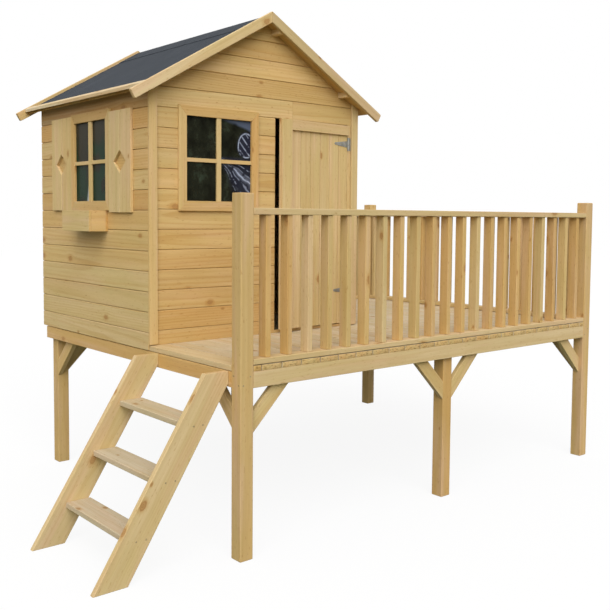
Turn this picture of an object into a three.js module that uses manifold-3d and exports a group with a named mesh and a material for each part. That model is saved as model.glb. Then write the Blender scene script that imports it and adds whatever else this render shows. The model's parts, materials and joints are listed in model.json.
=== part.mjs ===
// A children's playhouse on stilts: a gabled cabin at one end of a raised deck, a slatted
// railing round the rest of the deck, and a leaning ladder on the left.
// Millimetres, +Z up, +X to the right along the front, +Y to the back.
// Inside the part the plan is measured from the front left post's outer corner, and the
// whole part is then moved so that its origin is at the middle of its footprint.
import * as THREE from "three";
import { mergeVertices } from "three/addons/utils/BufferGeometryUtils.js";
import Module from "manifold-3d";

const wasm = await Module();
wasm.setup();

// Clearances
const seat = 0.3; // air between two pieces that rest on each other
const overrun = 5; // how far a cutting body runs past what it cuts

// Stand
const platformLength = 2855;
const deckTop = 900;
const postSide = 72;
const railPostRise = 785; // above the deck
const beamHeight = 76;
const beamThickness = 28;
const braceWidth = 70;
const braceThickness = 28;
const braceDrop = 235; // from the beam's underside to a brace's lowest corner
const middleLegShift = 27; // the middle legs stand this far right of the middle

// Deck
const deckBoardThickness = 26;
const deckBoardPitch = 119;
const deckSlotWidth = 5;
const deckSlotDepth = 19;

// Railing
const bottomRailHeight = 30;
const topRailHeight = 30;
const railingHeight = 718; // deck to the top rail's top
const slatWidth = 30;
const slatDepth = 55;
const slatPitch = 129; // about, the exact pitch fits each side
const frontSlatGaps = { first: 75, last: 70 }; // from the posts to the end slats
const backSlatGaps = { first: 93, last: 93 };
const rightSlatGaps = { first: 50, last: 18 };

// Ladder
const ladderLean = 57.6; // degrees from the ground
const ladderDrop = 28; // from the deck down to the stringers' level tops
const ladderPlumbCut = 56; // the stringers' upright cut against the beam
const ladderStart = 94; // front face of the near stringer
const ladderWidth = 656; // over both stringers
const stringerWidth = 137;
const stringerThickness = 28;
const treadDepth = 135;
const treadThickness = 26;
const treadInset = 42; // from the stringer's outer edge
const lowestTread = 200; // height of its top
const topStep = 244; // from the last tread up to the deck
const treadCount = 3;

// Cabin
const cabinLeft = -5;
const cabinWidth = 1478;
const cabinFront = 816; // face of the front cladding
const cabinDepth = 1336;
const backLap = 34; // the back cladding stands this far out of the beam below it
const claddingThickness = 19;
const claddingPitch = 106.4;
const frontFirstBoard = 75; // deck to the lowest joint between boards of the gable walls
const sideFirstBoard = 68;
const skirtDrop = 24; // the side and back cladding hang over the deck's edge
const claddingGrooveWidth = 7;
const claddingGrooveDepth = 4;
const battenWidth = 45;
const battenThickness = 28;
const battenRise = 73; // from the doorway's head to the inner battens' tops
const cornerTrimWidth = 50;
const cornerTrimThickness = 14;
const cornerTrimLift = 5; // above the deck

// Windows
const frontWindowWidth = 428; // clear of the trim
const sideWindowWidth = 392;
const windowHeight = 452;
const windowDrop = 35; // from the doorway's head to the clear top
const frontWindowInset = 442; // cabin's left side to the window's centre
const sideWindowInset = 637; // cabin's front to the window's centre
const frontTrimSide = 48;
const sideTrimSide = 42;
const trimRail = 54;
const trimThickness = 16;
const paneLap = 16; // pane and wall opening run this far behind the trim
const paneThickness = 3;
const paneSlack = 1;
const uprightBar = 36;
const crossBar = 21;
const crossBarRise = 219; // its centre above the clear bottom
const barDepth = 12;

// Shutters and planter
const nearShutterWidth = 246;
const farShutterWidth = 270;
const shutterHeight = 551;
const nearShutterDrop = 11; // below the window trim, where the far one ends
const shutterThickness = 16;
const shutterGrooveWidth = 5;
const shutterGrooveDepth = 5;
const diamondWidth = 136;
const diamondHeight = 124;
const planterWidth = 345;
const planterHeight = 116;
const planterReach = 115;
const planterShift = 23; // from the window's centre towards the front
const planterWall = 14;

// Doorway and door
const doorwayInset = 79; // from the cabin's right side
const doorwayWidth = 565;
const sillHeight = 16; // above the deck
const doorwayHeight = 1231;
const jambWidth = 25;
const jambDepth = 45;
const doorFaceProud = 4; // boards stand this far out of the cladding
const doorSideGap = 13; // on the latch side
const doorHingeGap = 1;
const doorEndGap = 5; // above and below
const doorBoardThickness = 16;
const doorBoardPitch = 79;
const doorGrooveWidth = 4;
const doorGrooveDepth = 4;
const stileWidth = 79;
const doorRailHeight = 60;
const doorFrameThickness = 14;
const ledgeHeight = 70;
const ledgeThickness = 22;
const ledgeInset = 30;
const doorAjar = 3.5; // degrees, as it stands at rest

// Hinges
const knuckleRadius = 5.5;
const knuckleBore = 2.9;
const pinRadius = 2.5;
const hingeLeaf = 2.5; // sheet thickness
const hingePlateHeight = 79;
const hingePlateWidth = 22;
const strapLength = 108;
const strapRootHeight = 38;
const strapTipHeight = 14;
const upperHingeDrop = 118; // from the doorway's head
const lowerHingeRise = 212; // from the sill

// Roof
const eaveRise = 121; // doorway's head to the board tops over the cabin's sides
const roofPitch = THREE.MathUtils.degToRad(30.2);
const roofBoardThickness = 18;
const frontOverhang = 93; // past the gable wall
const backOverhang = 108;
const eaveOverhang = 70; // cabin's side to the outside of the eave strip
const eaveStripWidth = 30;
const eaveStripHeight = 17; // it lies on the boards, along their lower ends
const boardInset = 20; // from the eave strip's outside to the boards' ends
const bargeProud = 19; // bargeboards above the boards
const purlinWidth = 32;
const purlinHeight = 14;
const ridgePurlinReach = 80; // ridge to purlin centre
const eavePurlinInset = 140; // cabin's side to purlin centre
const feltThickness = 3;
const ridgeStripReach = 150;
const bargeHeight = 53;
const bargeThickness = 22;
const bargeOverhang = 55; // past the eave strip
const longBargeExtra = 22; // the front left bargeboard is cut this much longer
const bargeRounding = 9;

// Materials
function finish(colour, roughness, metalness = 0) {
  return new THREE.MeshStandardMaterial({ color: colour, roughness, metalness });
}
const timber = finish(0xcdaa73, 0.7);
const postTimber = finish(0xc3a073, 0.72);
const deckTimber = finish(0xcdb496, 0.75);
const felt = finish(0x4b5058, 0.95);
const zinc = finish(0xaaaaaa, 0.45, 0.9);
const acrylic = finish(0x2a312c, 0.12);

// Axes of an outline drawn across each direction of extrusion
const outlineAxes = {
  x: [[0, 1, 0], [0, 0, 1], [1, 0, 0]],
  y: [[1, 0, 0], [0, 0, 1], [0, -1, 0]],
  z: [[1, 0, 0], [0, 1, 0], [0, 0, 1]],
};

function solid(geometry) {
  const bare = new THREE.BufferGeometry();
  bare.setAttribute("position", geometry.getAttribute("position"));
  bare.setIndex(geometry.index);
  const merged = mergeVertices(bare);
  const vertProperties = merged.attributes.position.array;
  const triVerts = new Uint32Array(merged.index.array);
  return new wasm.Manifold(new wasm.Mesh({ numProp: 3, vertProperties, triVerts }));
}

// A body with the given outline, from one place to another along an axis. The outline's
// points are (y, z) along x, (x, z) along y and (x, y) along z.
function prism(outline, along, from, to) {
  const shape = new THREE.Shape(outline.map(([a, b]) => new THREE.Vector2(a, b)));
  const body = new THREE.ExtrudeGeometry(shape, { depth: to - from, bevelEnabled: false });
  const [u, v, w] = outlineAxes[along].map((axis) => new THREE.Vector3(...axis));
  body.applyMatrix4(new THREE.Matrix4().makeBasis(u, v, w));
  const start = w.multiplyScalar(along === "y" ? -to : from);
  body.translate(start.x, start.y, start.z);
  return solid(body);
}

function block([x0, x1], [y0, y1], [z0, z1]) {
  return prism([[x0, y0], [x1, y0], [x1, y1], [x0, y1]], "z", z0, z1);
}

function rectangle([a0, a1], [b0, b1]) {
  return [[a0, b0], [a1, b0], [a1, b1], [a0, b1]];
}

function joined(bodies) {
  return bodies.reduce((sum, body) => sum.add(body));
}

function cut(body, tools) {
  return tools.reduce((rest, tool) => rest.subtract(tool), body);
}

function meshOf(name, body, material) {
  const { vertProperties, triVerts } = body.getMesh();
  const geometry = new THREE.BufferGeometry();
  geometry.setAttribute("position", new THREE.BufferAttribute(vertProperties, 3));
  geometry.setIndex(new THREE.BufferAttribute(triVerts, 1));
  geometry.computeVertexNormals();
  const mesh = new THREE.Mesh(geometry, material);
  mesh.name = name;
  return mesh;
}

const playhouse = new THREE.Group();
function add(name, body, material = timber, group = playhouse) {
  group.add(meshOf(name, body, material));
}

// Places along a run where one board ends and the next begins
function boardLines(first, pitch, end) {
  const lines = [];
  for (let at = first; at < end; at += pitch) lines.push(at);
  return lines;
}

// Stand: six posts, four beams, a joist and twelve knee braces
const cabinRight = cabinLeft + cabinWidth;
const cabinBack = cabinFront + cabinDepth;
const platformDepth = cabinBack - backLap - beamThickness; // to the back beam's inside
const deckBottom = deckTop - deckBoardThickness;
const beamTop = deckBottom - seat;
const beamSpan = [beamTop - beamHeight, beamTop];
const rightPost = [platformLength - postSide, platformLength];
const backPost = [platformDepth - postSide, platformDepth];
const shortLeg = [0, deckBottom - seat];
const railPost = [0, deckTop + railPostRise];
const middleLegStart = (platformLength - postSide) / 2 + middleLegShift;
const middleLeg = [middleLegStart, middleLegStart + postSide];
const innerSide = beamThickness + seat; // first place behind a front or left beam
const innerBack = platformDepth - seat; // last place before the back beam
const innerRight = platformLength - beamThickness - seat;
const backEdge = platformDepth + beamThickness;

add("post_front_left", block([0, postSide], [0, postSide], railPost), postTimber);
add("post_front_right", block(rightPost, [0, postSide], railPost), postTimber);
add("post_back_right", block(rightPost, backPost, railPost), postTimber);
add("leg_front_middle", block(middleLeg, [innerSide, innerSide + postSide], shortLeg), postTimber);
add("leg_back_middle", block(middleLeg, backPost, shortLeg), postTimber);
add("leg_back_left", block([innerSide, innerSide + postSide], backPost, shortLeg), postTimber);

const afterPost = postSide + seat;
const beforeRightPost = rightPost[0] - seat;
const beforeBackPost = backPost[0] - seat;
add("beam_front", block([afterPost, beforeRightPost], [0, beamThickness], beamSpan));
add("beam_left", block([0, beamThickness], [afterPost, backEdge], beamSpan));
add("beam_right", block([platformLength - beamThickness, platformLength],
  [afterPost, beforeBackPost], beamSpan));
add("beam_back", block([innerSide, platformLength], [platformDepth + seat, backEdge], beamSpan));
const joistMiddle = platformDepth / 2;
add("joist_middle", block([innerSide, innerRight],
  [joistMiddle - beamThickness / 2, joistMiddle + beamThickness / 2], beamSpan));

// A 45 degree brace's outline: it leaves a post at the place start and climbs the way
// that direction (1 or -1) points, up to the deck's underside.
function braceOutline(start, direction) {
  const plumb = braceWidth * Math.SQRT2;
  const rise = beamHeight + braceDrop;
  const bottom = beamTop - rise;
  const foot = start + direction * seat;
  return [
    [foot, bottom],
    [foot + direction * rise, beamTop],
    [foot + direction * (rise - plumb), beamTop],
    [foot, bottom + plumb],
  ];
}
const behindFrontBeam = [innerSide, innerSide + braceThickness];
const beforeBackBeam = [innerBack - braceThickness, innerBack];
const besideLeftBeam = [innerSide, innerSide + braceThickness];
const besideRightBeam = [innerRight - braceThickness, innerRight];
const backLeftLegFace = innerSide + postSide;
const lengthwiseBraces = [
  ["front_left", postSide, 1, behindFrontBeam],
  ["front_middle_left", middleLeg[0], -1, behindFrontBeam],
  ["front_middle_right", middleLeg[1], 1, behindFrontBeam],
  ["front_right", rightPost[0], -1, behindFrontBeam],
  ["back_left", backLeftLegFace, 1, beforeBackBeam],
  ["back_middle_left", middleLeg[0], -1, beforeBackBeam],
  ["back_middle_right", middleLeg[1], 1, beforeBackBeam],
  ["back_right", rightPost[0], -1, beforeBackBeam],
];
for (const [place, start, direction, [from, to]] of lengthwiseBraces)
  add("brace_" + place, prism(braceOutline(start, direction), "y", from, to));
const crosswiseBraces = [
  ["left_front", postSide, 1, besideLeftBeam],
  ["left_back", backPost[0], -1, besideLeftBeam],
  ["right_front", postSide, 1, besideRightBeam],
  ["right_back", backPost[0], -1, besideRightBeam],
];
for (const [place, start, direction, [from, to]] of crosswiseBraces)
  add("brace_" + place, prism(braceOutline(start, direction), "x", from, to));

// Deck: boards from front to back, parted by slots and joined by a thin web below them,
// notched round the posts and behind the cladding that hangs over its edges
const wallInnerLeft = cabinLeft + claddingThickness;
const wallInnerRight = cabinRight - claddingThickness;
const wallInnerFront = cabinFront + claddingThickness;
const wallInnerBack = cabinBack - claddingThickness;
const doorwayRight = cabinRight - doorwayInset;
const doorwayLeft = doorwayRight - doorwayWidth;
const doorwaySill = deckTop + sillHeight;
const doorwayHead = doorwaySill + doorwayHeight;

function deckOutline() {
  const top = [];
  for (const line of boardLines(deckBoardPitch, deckBoardPitch, platformLength - slatWidth)) {
    const [left, right] = [line - deckSlotWidth / 2, line + deckSlotWidth / 2];
    const floor = deckTop - deckSlotDepth;
    top.push([left, deckTop], [left, floor], [right, floor], [right, deckTop]);
  }
  return [
    [0, deckBottom],
    [0, deckTop],
    ...top,
    [platformLength, deckTop],
    [platformLength, deckBottom],
  ];
}
function cornerNotch([x0, x1], [y0, y1]) {
  const grow = seat;
  return block([x0 - grow, x1 + grow], [y0 - grow, y1 + grow],
    [deckBottom - overrun, deckTop + overrun]);
}
add("deck_boards", cut(prism(deckOutline(), "y", 0, backEdge), [
  cornerNotch([-overrun, postSide], [-overrun, postSide]),
  cornerNotch([rightPost[0], platformLength + overrun], [-overrun, postSide]),
  cornerNotch([rightPost[0], platformLength + overrun], backPost),
  cornerNotch([-overrun, wallInnerLeft], [cabinFront, cabinBack + overrun]),
  cornerNotch([-overrun, wallInnerRight], [wallInnerBack, cabinBack + overrun]),
]), deckTimber);

// Railing: on each side slats stand on a bottom rail, and a top rail closes them
const deckSeat = deckTop + seat;
const bottomRail = [deckSeat, deckSeat + bottomRailHeight];
const topRail = [deckTop + railingHeight - topRailHeight, deckTop + railingHeight];
const slatSpan = [bottomRail[1] - seat, topRail[0] - seat];
const slatInset = (postSide - slatDepth) / 2;

function slatPlaces(from, to, gaps) {
  const first = from + gaps.first;
  const last = to - gaps.last - slatWidth;
  const bays = Math.max(1, Math.round((last - first) / slatPitch));
  return Array.from({ length: bays + 1 }, (_, i) => first + ((last - first) * i) / bays);
}
// blockAt places a body from its span along the railing and its span across it
function railing(side, [from, to], gaps, across, blockAt) {
  const run = [from + seat, to - seat];
  const slatAcross = [across[0] + slatInset, across[1] - slatInset];
  const slats = slatPlaces(from, to, gaps).map((at) =>
    blockAt([at, at + slatWidth], slatAcross, slatSpan));
  add("railing_" + side + "_slats", joined([blockAt(run, across, bottomRail), ...slats]));
  add("railing_" + side + "_top_rail", blockAt(run, across, topRail));
}
const lengthwise = (run, across, up) => block(run, across, up);
const crosswise = (run, across, up) => block(across, run, up);
railing("front", [postSide, rightPost[0]], frontSlatGaps, [0, postSide], lengthwise);
railing("back", [cabinRight, rightPost[0]], backSlatGaps, backPost, lengthwise);
railing("right", [postSide, backPost[0]], rightSlatGaps, rightPost, crosswise);

// Ladder: two stringers lean on the left beam, three treads are let in between them
const lean = THREE.MathUtils.degToRad(ladderLean);
const stringerLevel = stringerWidth / Math.sin(lean); // its width along the ground
const ladderTop = deckTop - ladderDrop;
const headCut = ladderTop - ladderPlumbCut;
const ladderHead = -seat; // the plumb cut's place, just outside the beam
const ladderFoot = ladderHead - stringerLevel - headCut / Math.tan(lean);
const treadRise = (deckTop - topStep - lowestTread) / (treadCount - 1);
function stringerEdge(height) {
  return ladderFoot + height / Math.tan(lean);
}
const stringerOutline = [
  [ladderFoot, 0],
  [ladderFoot + stringerLevel, 0],
  [ladderHead, headCut],
  [ladderHead, ladderTop],
  [stringerEdge(ladderTop), ladderTop],
];
const nearStringer = [ladderStart, ladderStart + stringerThickness];
const farStringer = [ladderStart + ladderWidth - stringerThickness, ladderStart + ladderWidth];
add("ladder_stringer_near", prism(stringerOutline, "y", ...nearStringer));
add("ladder_stringer_far", prism(stringerOutline, "y", ...farStringer));
for (let i = 0; i < treadCount; i += 1) {
  const top = lowestTread + i * treadRise;
  const outer = stringerEdge(top) + treadInset;
  add("ladder_tread_" + (i + 1), block([outer, outer + treadDepth],
    [nearStringer[1] + seat, farStringer[0] - seat], [top - treadThickness, top]));
}

// Roof lines: the height of the surface that lies a given depth below the board tops
const ridgeLine = cabinLeft + cabinWidth / 2;
const ridgeHeight = doorwayHead + eaveRise + (cabinWidth / 2) * Math.tan(roofPitch);
function roofHeight(x, depth) {
  const slope = Math.abs(x - ridgeLine) * Math.tan(roofPitch);
  return ridgeHeight - slope - depth / Math.cos(roofPitch);
}
const wallTopDepth = roofBoardThickness + seat;
function mirrored(outline) {
  return outline.map(([x, z]) => [2 * ridgeLine - x, z]);
}

function purlinOutline(reach, slack) {
  const left = ridgeLine - reach - purlinWidth / 2 - slack;
  const right = left + purlinWidth + 2 * slack;
  const depth = roofBoardThickness;
  const bottom = roofHeight(left, depth) - purlinHeight - slack;
  return [
    [left, bottom],
    [right, bottom],
    [right, roofHeight(right, depth) + seat],
    [left, roofHeight(left, depth) + seat],
  ];
}
const purlinReaches = [ridgePurlinReach, cabinWidth / 2 - eavePurlinInset];
function purlinNotches(y0, y1) {
  return purlinReaches.flatMap((reach) => {
    const outline = purlinOutline(reach, seat);
    return [prism(outline, "y", y0, y1), prism(mirrored(outline), "y", y0, y1)];
  });
}

// A clad wall's section: level boards parted by V grooves. The face looks the way that
// outward (1 or -1) points, and the boards lie behind it.
function claddingOutline(face, outward, bottom, faceTop, backTop, firstLine) {
  const groove = face - outward * claddingGrooveDepth;
  const back = face - outward * claddingThickness;
  const points = [[face, bottom]];
  const highest = faceTop - claddingGrooveWidth;
  for (const line of boardLines(deckTop + firstLine, claddingPitch, highest)) {
    points.push([face, line - claddingGrooveWidth / 2], [groove, line]);
    points.push([face, line + claddingGrooveWidth / 2]);
  }
  points.push([face, faceTop], [back, backTop], [back, bottom]);
  return points;
}

// Gable walls stand between the side walls
const skirtBottom = deckTop - skirtDrop;
const battenTop = doorwayHead + battenRise;
const gableRun = [wallInnerLeft + seat, wallInnerRight - seat];
function gableOutline(bottom) {
  const [left, right] = gableRun;
  return [
    [left, bottom],
    [right, bottom],
    [right, roofHeight(right, wallTopDepth)],
    [ridgeLine, roofHeight(ridgeLine, wallTopDepth)],
    [left, roofHeight(left, wallTopDepth)],
  ];
}
function gableWall(face, outward, bottom) {
  const back = face - outward * claddingThickness;
  const top = ridgeHeight;
  const section = claddingOutline(face, outward, bottom, top, top, frontFirstBoard);
  const [y0, y1] = [Math.min(face, back), Math.max(face, back)];
  const boards = prism(section, "x", ...gableRun);
  const gable = prism(gableOutline(bottom), "y", y0 - overrun, y1 + overrun);
  return cut(boards.intersect(gable), purlinNotches(y0 - overrun, y1 + overrun));
}

const jambRun = [doorwayRight + doorHingeGap, doorwayRight + doorHingeGap + jambWidth];
const windowTop = doorwayHead - windowDrop;
const windowSpan = [windowTop - windowHeight, windowTop];
const frontWindowCentre = cabinLeft + frontWindowInset;
const sideWindowCentre = cabinFront + sideWindowInset;
function windowRun(centre, width, lap) {
  return [centre - width / 2 - lap, centre + width / 2 + lap];
}
const paneSpan = [windowSpan[0] - paneLap, windowSpan[1] + paneLap];

const frontBattens = [wallInnerFront - seat, wallInnerFront + battenThickness];
const frontBattenPlaces = [
  [gableRun[0], gableRun[0] + battenWidth],
  [doorwayLeft - battenWidth, doorwayLeft],
  [jambRun[1] + seat, gableRun[1]],
];
add("wall_front", cut(joined([
  gableWall(cabinFront, -1, deckSeat),
  ...frontBattenPlaces.map((run) => block(run, frontBattens, [deckSeat, battenTop])),
]), [
  block([doorwayLeft, jambRun[1] + seat], [cabinFront - overrun, wallInnerFront + overrun],
    [doorwaySill, doorwayHead]),
  block(windowRun(frontWindowCentre, frontWindowWidth, paneLap),
    [cabinFront - overrun, wallInnerFront + overrun], paneSpan),
]));

const backBattens = [wallInnerBack - battenThickness, wallInnerBack + seat];
const pastSideBatten = battenThickness + seat;
const backBattenStart = gableRun[0] + pastSideBatten;
const backBattenEnd = gableRun[1] - pastSideBatten;
const backBattenPlaces = [
  [backBattenStart, backBattenStart + battenWidth],
  [ridgeLine - battenWidth / 2, ridgeLine + battenWidth / 2],
  [backBattenEnd - battenWidth, backBattenEnd],
];
const backBoards = cut(gableWall(cabinBack, 1, skirtBottom), [
  block([wallInnerRight - seat, cabinRight], [wallInnerBack, cabinBack], [skirtBottom, deckTop]),
]);
add("wall_back", joined([
  backBoards,
  ...backBattenPlaces.map((run) => block(run, backBattens, [deckSeat, battenTop])),
]));

// Side walls run past the gable walls' ends
const sideRun = [cabinFront, cabinBack];
function sideWall(outer, outward, bottom) {
  const inner = outer - outward * claddingThickness;
  const outerTop = roofHeight(outer, wallTopDepth);
  const innerTop = roofHeight(inner, wallTopDepth);
  const section = claddingOutline(outer, outward, bottom, outerTop, innerTop, sideFirstBoard);
  return prism(section, "y", ...sideRun);
}
const sideBattenStart = frontBattens[1] + seat;
const sideBattenEnd = wallInnerBack - seat;
const sidePaneRun = windowRun(sideWindowCentre, sideWindowWidth, paneLap);
const leftBattenPlaces = [
  [sideBattenStart, sideBattenStart + battenWidth],
  [sidePaneRun[0] - battenWidth, sidePaneRun[0]],
  [sidePaneRun[1], sidePaneRun[1] + battenWidth],
  [sideBattenEnd - battenWidth, sideBattenEnd],
];
const leftBattens = [wallInnerLeft - seat, wallInnerLeft + battenThickness];
add("wall_left", cut(joined([
  sideWall(cabinLeft, -1, skirtBottom),
  ...leftBattenPlaces.map((run) => block(leftBattens, run, [deckSeat, battenTop])),
]), [
  block([cabinLeft - overrun, wallInnerLeft + overrun], sidePaneRun, paneSpan),
]));
const rightBattens = [wallInnerRight - battenThickness, wallInnerRight + seat];
const sideMiddle = (cabinFront + cabinBack) / 2;
const rightBattenPlaces = [
  leftBattenPlaces[0],
  [sideMiddle - battenWidth / 2, sideMiddle + battenWidth / 2],
  [sideBattenEnd - battenWidth, sideBattenEnd],
];
add("wall_right", joined([
  sideWall(cabinRight, 1, deckSeat),
  ...rightBattenPlaces.map((run) => block(rightBattens, run, [deckSeat, battenTop])),
]));

// Trim boards cover the front corners, their tops cut to the roof's slope
const trimFace = [cabinFront - cornerTrimThickness, cabinFront - seat];
const leftTrimEnd = cabinLeft + cornerTrimWidth;
const cornerTrimOutline = [
  [cabinLeft, deckTop + cornerTrimLift],
  [leftTrimEnd, deckTop + cornerTrimLift],
  [leftTrimEnd, roofHeight(leftTrimEnd, wallTopDepth)],
  [cabinLeft, roofHeight(cabinLeft, wallTopDepth)],
];
add("corner_trim_left", prism(cornerTrimOutline, "y", ...trimFace));
add("corner_trim_right", prism(mirrored(cornerTrimOutline), "y", ...trimFace));

// Windows: a trim frame with its glazing bars on the cladding, a pane behind them.
// The wall's face is at the place face across the axis along.
function addWindow(side, along, face, centre, width, sideTrim) {
  const trim = [face - trimThickness, face - seat];
  const bars = [face - barDepth, face - seat];
  const clear = windowRun(centre, width, 0);
  const outer = rectangle(windowRun(centre, width, sideTrim),
    [windowSpan[0] - trimRail, windowSpan[1] + trimRail]);
  const hole = prism(rectangle(clear, windowSpan), along, trim[0] - overrun, trim[1] + overrun);
  const upright = rectangle([centre - uprightBar / 2, centre + uprightBar / 2],
    [windowSpan[0] - seat, windowSpan[1] + seat]);
  const crossing = windowSpan[0] + crossBarRise;
  const level = rectangle([clear[0] - seat, clear[1] + seat],
    [crossing - crossBar / 2, crossing + crossBar / 2]);
  add("window_" + side + "_frame", joined([
    cut(prism(outer, along, ...trim), [hole]),
    prism(upright, along, ...bars),
    prism(level, along, ...bars),
  ]));
  const pane = rectangle(windowRun(centre, width, paneLap - paneSlack),
    [paneSpan[0] + paneSlack, paneSpan[1] - paneSlack]);
  add("window_" + side + "_pane", prism(pane, along, face, face + paneThickness), acrylic);
}
addWindow("front", "y", cabinFront, frontWindowCentre, frontWindowWidth, frontTrimSide);
addWindow("side", "x", cabinLeft, sideWindowCentre, sideWindowWidth, sideTrimSide);

// Shutters: two upright boards each, with a diamond cut through them
const sideFrameBottom = windowSpan[0] - trimRail;
const shutterFace = [cabinLeft - shutterThickness, cabinLeft - seat];
function addShutter(place, bottom, [from, to]) {
  const shutterSpan = [bottom, bottom + shutterHeight];
  const middle = (from + to) / 2;
  const level = bottom + shutterHeight / 2;
  const diamond = [
    [middle - diamondWidth / 2, level],
    [middle, level - diamondHeight / 2],
    [middle + diamondWidth / 2, level],
    [middle, level + diamondHeight / 2],
  ];
  const groove = block([shutterFace[0] - overrun, shutterFace[0] + shutterGrooveDepth],
    [middle - shutterGrooveWidth / 2, middle + shutterGrooveWidth / 2],
    [shutterSpan[0] - overrun, shutterSpan[1] + overrun]);
  const hole = prism(diamond, "x", shutterFace[0] - overrun, shutterFace[1] + overrun);
  add("shutter_" + place, cut(block(shutterFace, [from, to], shutterSpan), [groove, hole]));
}
const sideFrameRun = windowRun(sideWindowCentre, sideWindowWidth, sideTrimSide);
addShutter("near", sideFrameBottom - nearShutterDrop,
  [sideFrameRun[0] - seat - nearShutterWidth, sideFrameRun[0] - seat]);
addShutter("far", sideFrameBottom,
  [sideFrameRun[1] + seat, sideFrameRun[1] + seat + farShutterWidth]);

// Planter: an open box under the side window
const planterTop = sideFrameBottom - seat;
const planterCentre = sideWindowCentre - planterShift;
const planterRun = [planterCentre - planterWidth / 2, planterCentre + planterWidth / 2];
const planterAcross = [cabinLeft - planterReach, cabinLeft - seat];
add("planter_box", cut(
  block(planterAcross, planterRun, [planterTop - planterHeight, planterTop]),
  [block([planterAcross[0] + planterWall, planterAcross[1] - planterWall],
    [planterRun[0] + planterWall, planterRun[1] - planterWall],
    [planterTop - planterHeight + planterWall, planterTop + overrun])],
));

// The hinge post of the doorway
const doorFace = cabinFront - doorFaceProud;
add("door_jamb", block(jambRun, [doorFace, doorFace + jambDepth],
  [doorwaySill + seat, doorwayHead - seat]));

// Door: a group turning on the hinge axis, its places measured from that axis
const hingeX = doorwayRight;
const hingeY = doorFace - knuckleRadius - seat;
const door = new THREE.Group();
door.position.set(hingeX, hingeY, 0);
door.rotation.z = THREE.MathUtils.degToRad(doorAjar);
playhouse.add(door);

const leafRun = [-(doorwayWidth - doorSideGap), -doorHingeGap];
const leafSpan = [doorwaySill + doorEndGap, doorwayHead - doorEndGap];
const boardFace = doorFace - hingeY;
const boardBack = boardFace + doorBoardThickness;
const doorFrame = [boardFace - doorFrameThickness, boardFace + seat];
const doorGrooves = boardLines(leafRun[0] + stileWidth, doorBoardPitch, leafRun[1]).slice(1);
const ledgeRun = [leafRun[0] + ledgeInset, leafRun[1] - ledgeInset];
const ledgeStep = (leafSpan[1] - leafSpan[0] - ledgeHeight - 2 * ledgeInset) / 2;
const ledgePlaces = [0, 1, 2].map((i) => leafSpan[0] + ledgeInset + i * ledgeStep);
add("door_leaf", cut(joined([
  block(leafRun, [boardFace, boardBack], leafSpan),
  block([leafRun[0], leafRun[0] + stileWidth], doorFrame, leafSpan),
  block(leafRun, doorFrame, [leafSpan[1] - doorRailHeight, leafSpan[1]]),
  ...ledgePlaces.map((z) => block(ledgeRun, [boardBack - seat, boardBack + ledgeThickness],
    [z, z + ledgeHeight])),
]), doorGrooves.map((x) => block([x - doorGrooveWidth / 2, x + doorGrooveWidth / 2],
  [boardFace - overrun, boardFace + doorGrooveDepth],
  [leafSpan[0] - overrun, leafSpan[1] - doorRailHeight - seat]))), timber, door);

// Hinges: a plate with the pin and two knuckles on the post, a strap with the middle
// knuckle on the door
const hingeSides = 20;
function disc(radius) {
  return Array.from({ length: hingeSides }, (_, i) => {
    const turn = (2 * Math.PI * i) / hingeSides;
    return [radius * Math.cos(turn), radius * Math.sin(turn)];
  });
}
const sheet = [knuckleRadius - hingeLeaf, knuckleRadius];
function addHinge(place, centre) {
  const third = hingePlateHeight / 6;
  const plateSpan = [centre - hingePlateHeight / 2, centre + hingePlateHeight / 2];
  const middleSpan = [centre - third + seat, centre + third - seat];
  const knuckles = cut(prism(disc(knuckleRadius), "z", ...plateSpan),
    [prism(rectangle([-knuckleRadius - overrun, knuckleRadius + overrun],
      [-knuckleRadius - overrun, knuckleRadius + overrun]), "z", centre - third, centre + third)]);
  const plate = block([0, doorHingeGap + hingePlateWidth], sheet, plateSpan);
  const relief = block([-overrun, knuckleRadius + seat], [-overrun, knuckleRadius + overrun],
    [centre - third, centre + third]);
  const fixed = cut(joined([knuckles, plate]), [relief])
    .add(prism(disc(pinRadius), "z", ...plateSpan));
  const holder = new THREE.Group();
  holder.position.copy(door.position);
  playhouse.add(holder);
  add("hinge_plate_" + place, fixed, zinc, holder);

  const root = [centre - strapRootHeight / 2, centre + strapRootHeight / 2];
  const tip = [centre - strapTipHeight / 2, centre + strapTipHeight / 2];
  const neck = -knuckleRadius - seat;
  const strap = [
    [0, middleSpan[0]],
    [0, middleSpan[1]],
    [neck, middleSpan[1]],
    [neck, root[1]],
    [-strapLength, tip[1]],
    [-strapLength - strapTipHeight / 2, centre],
    [-strapLength, tip[0]],
    [neck, root[0]],
    [neck, middleSpan[0]],
  ];
  const moving = cut(joined([
    prism(disc(knuckleRadius), "z", ...middleSpan),
    prism(strap, "y", ...sheet),
  ]), [prism(disc(knuckleBore), "z", middleSpan[0] - overrun, middleSpan[1] + overrun)]);
  add("hinge_strap_" + place, moving, zinc, door);
}
addHinge("upper", doorwayHead - upperHingeDrop);
addHinge("lower", doorwaySill + lowerHingeRise);

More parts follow.
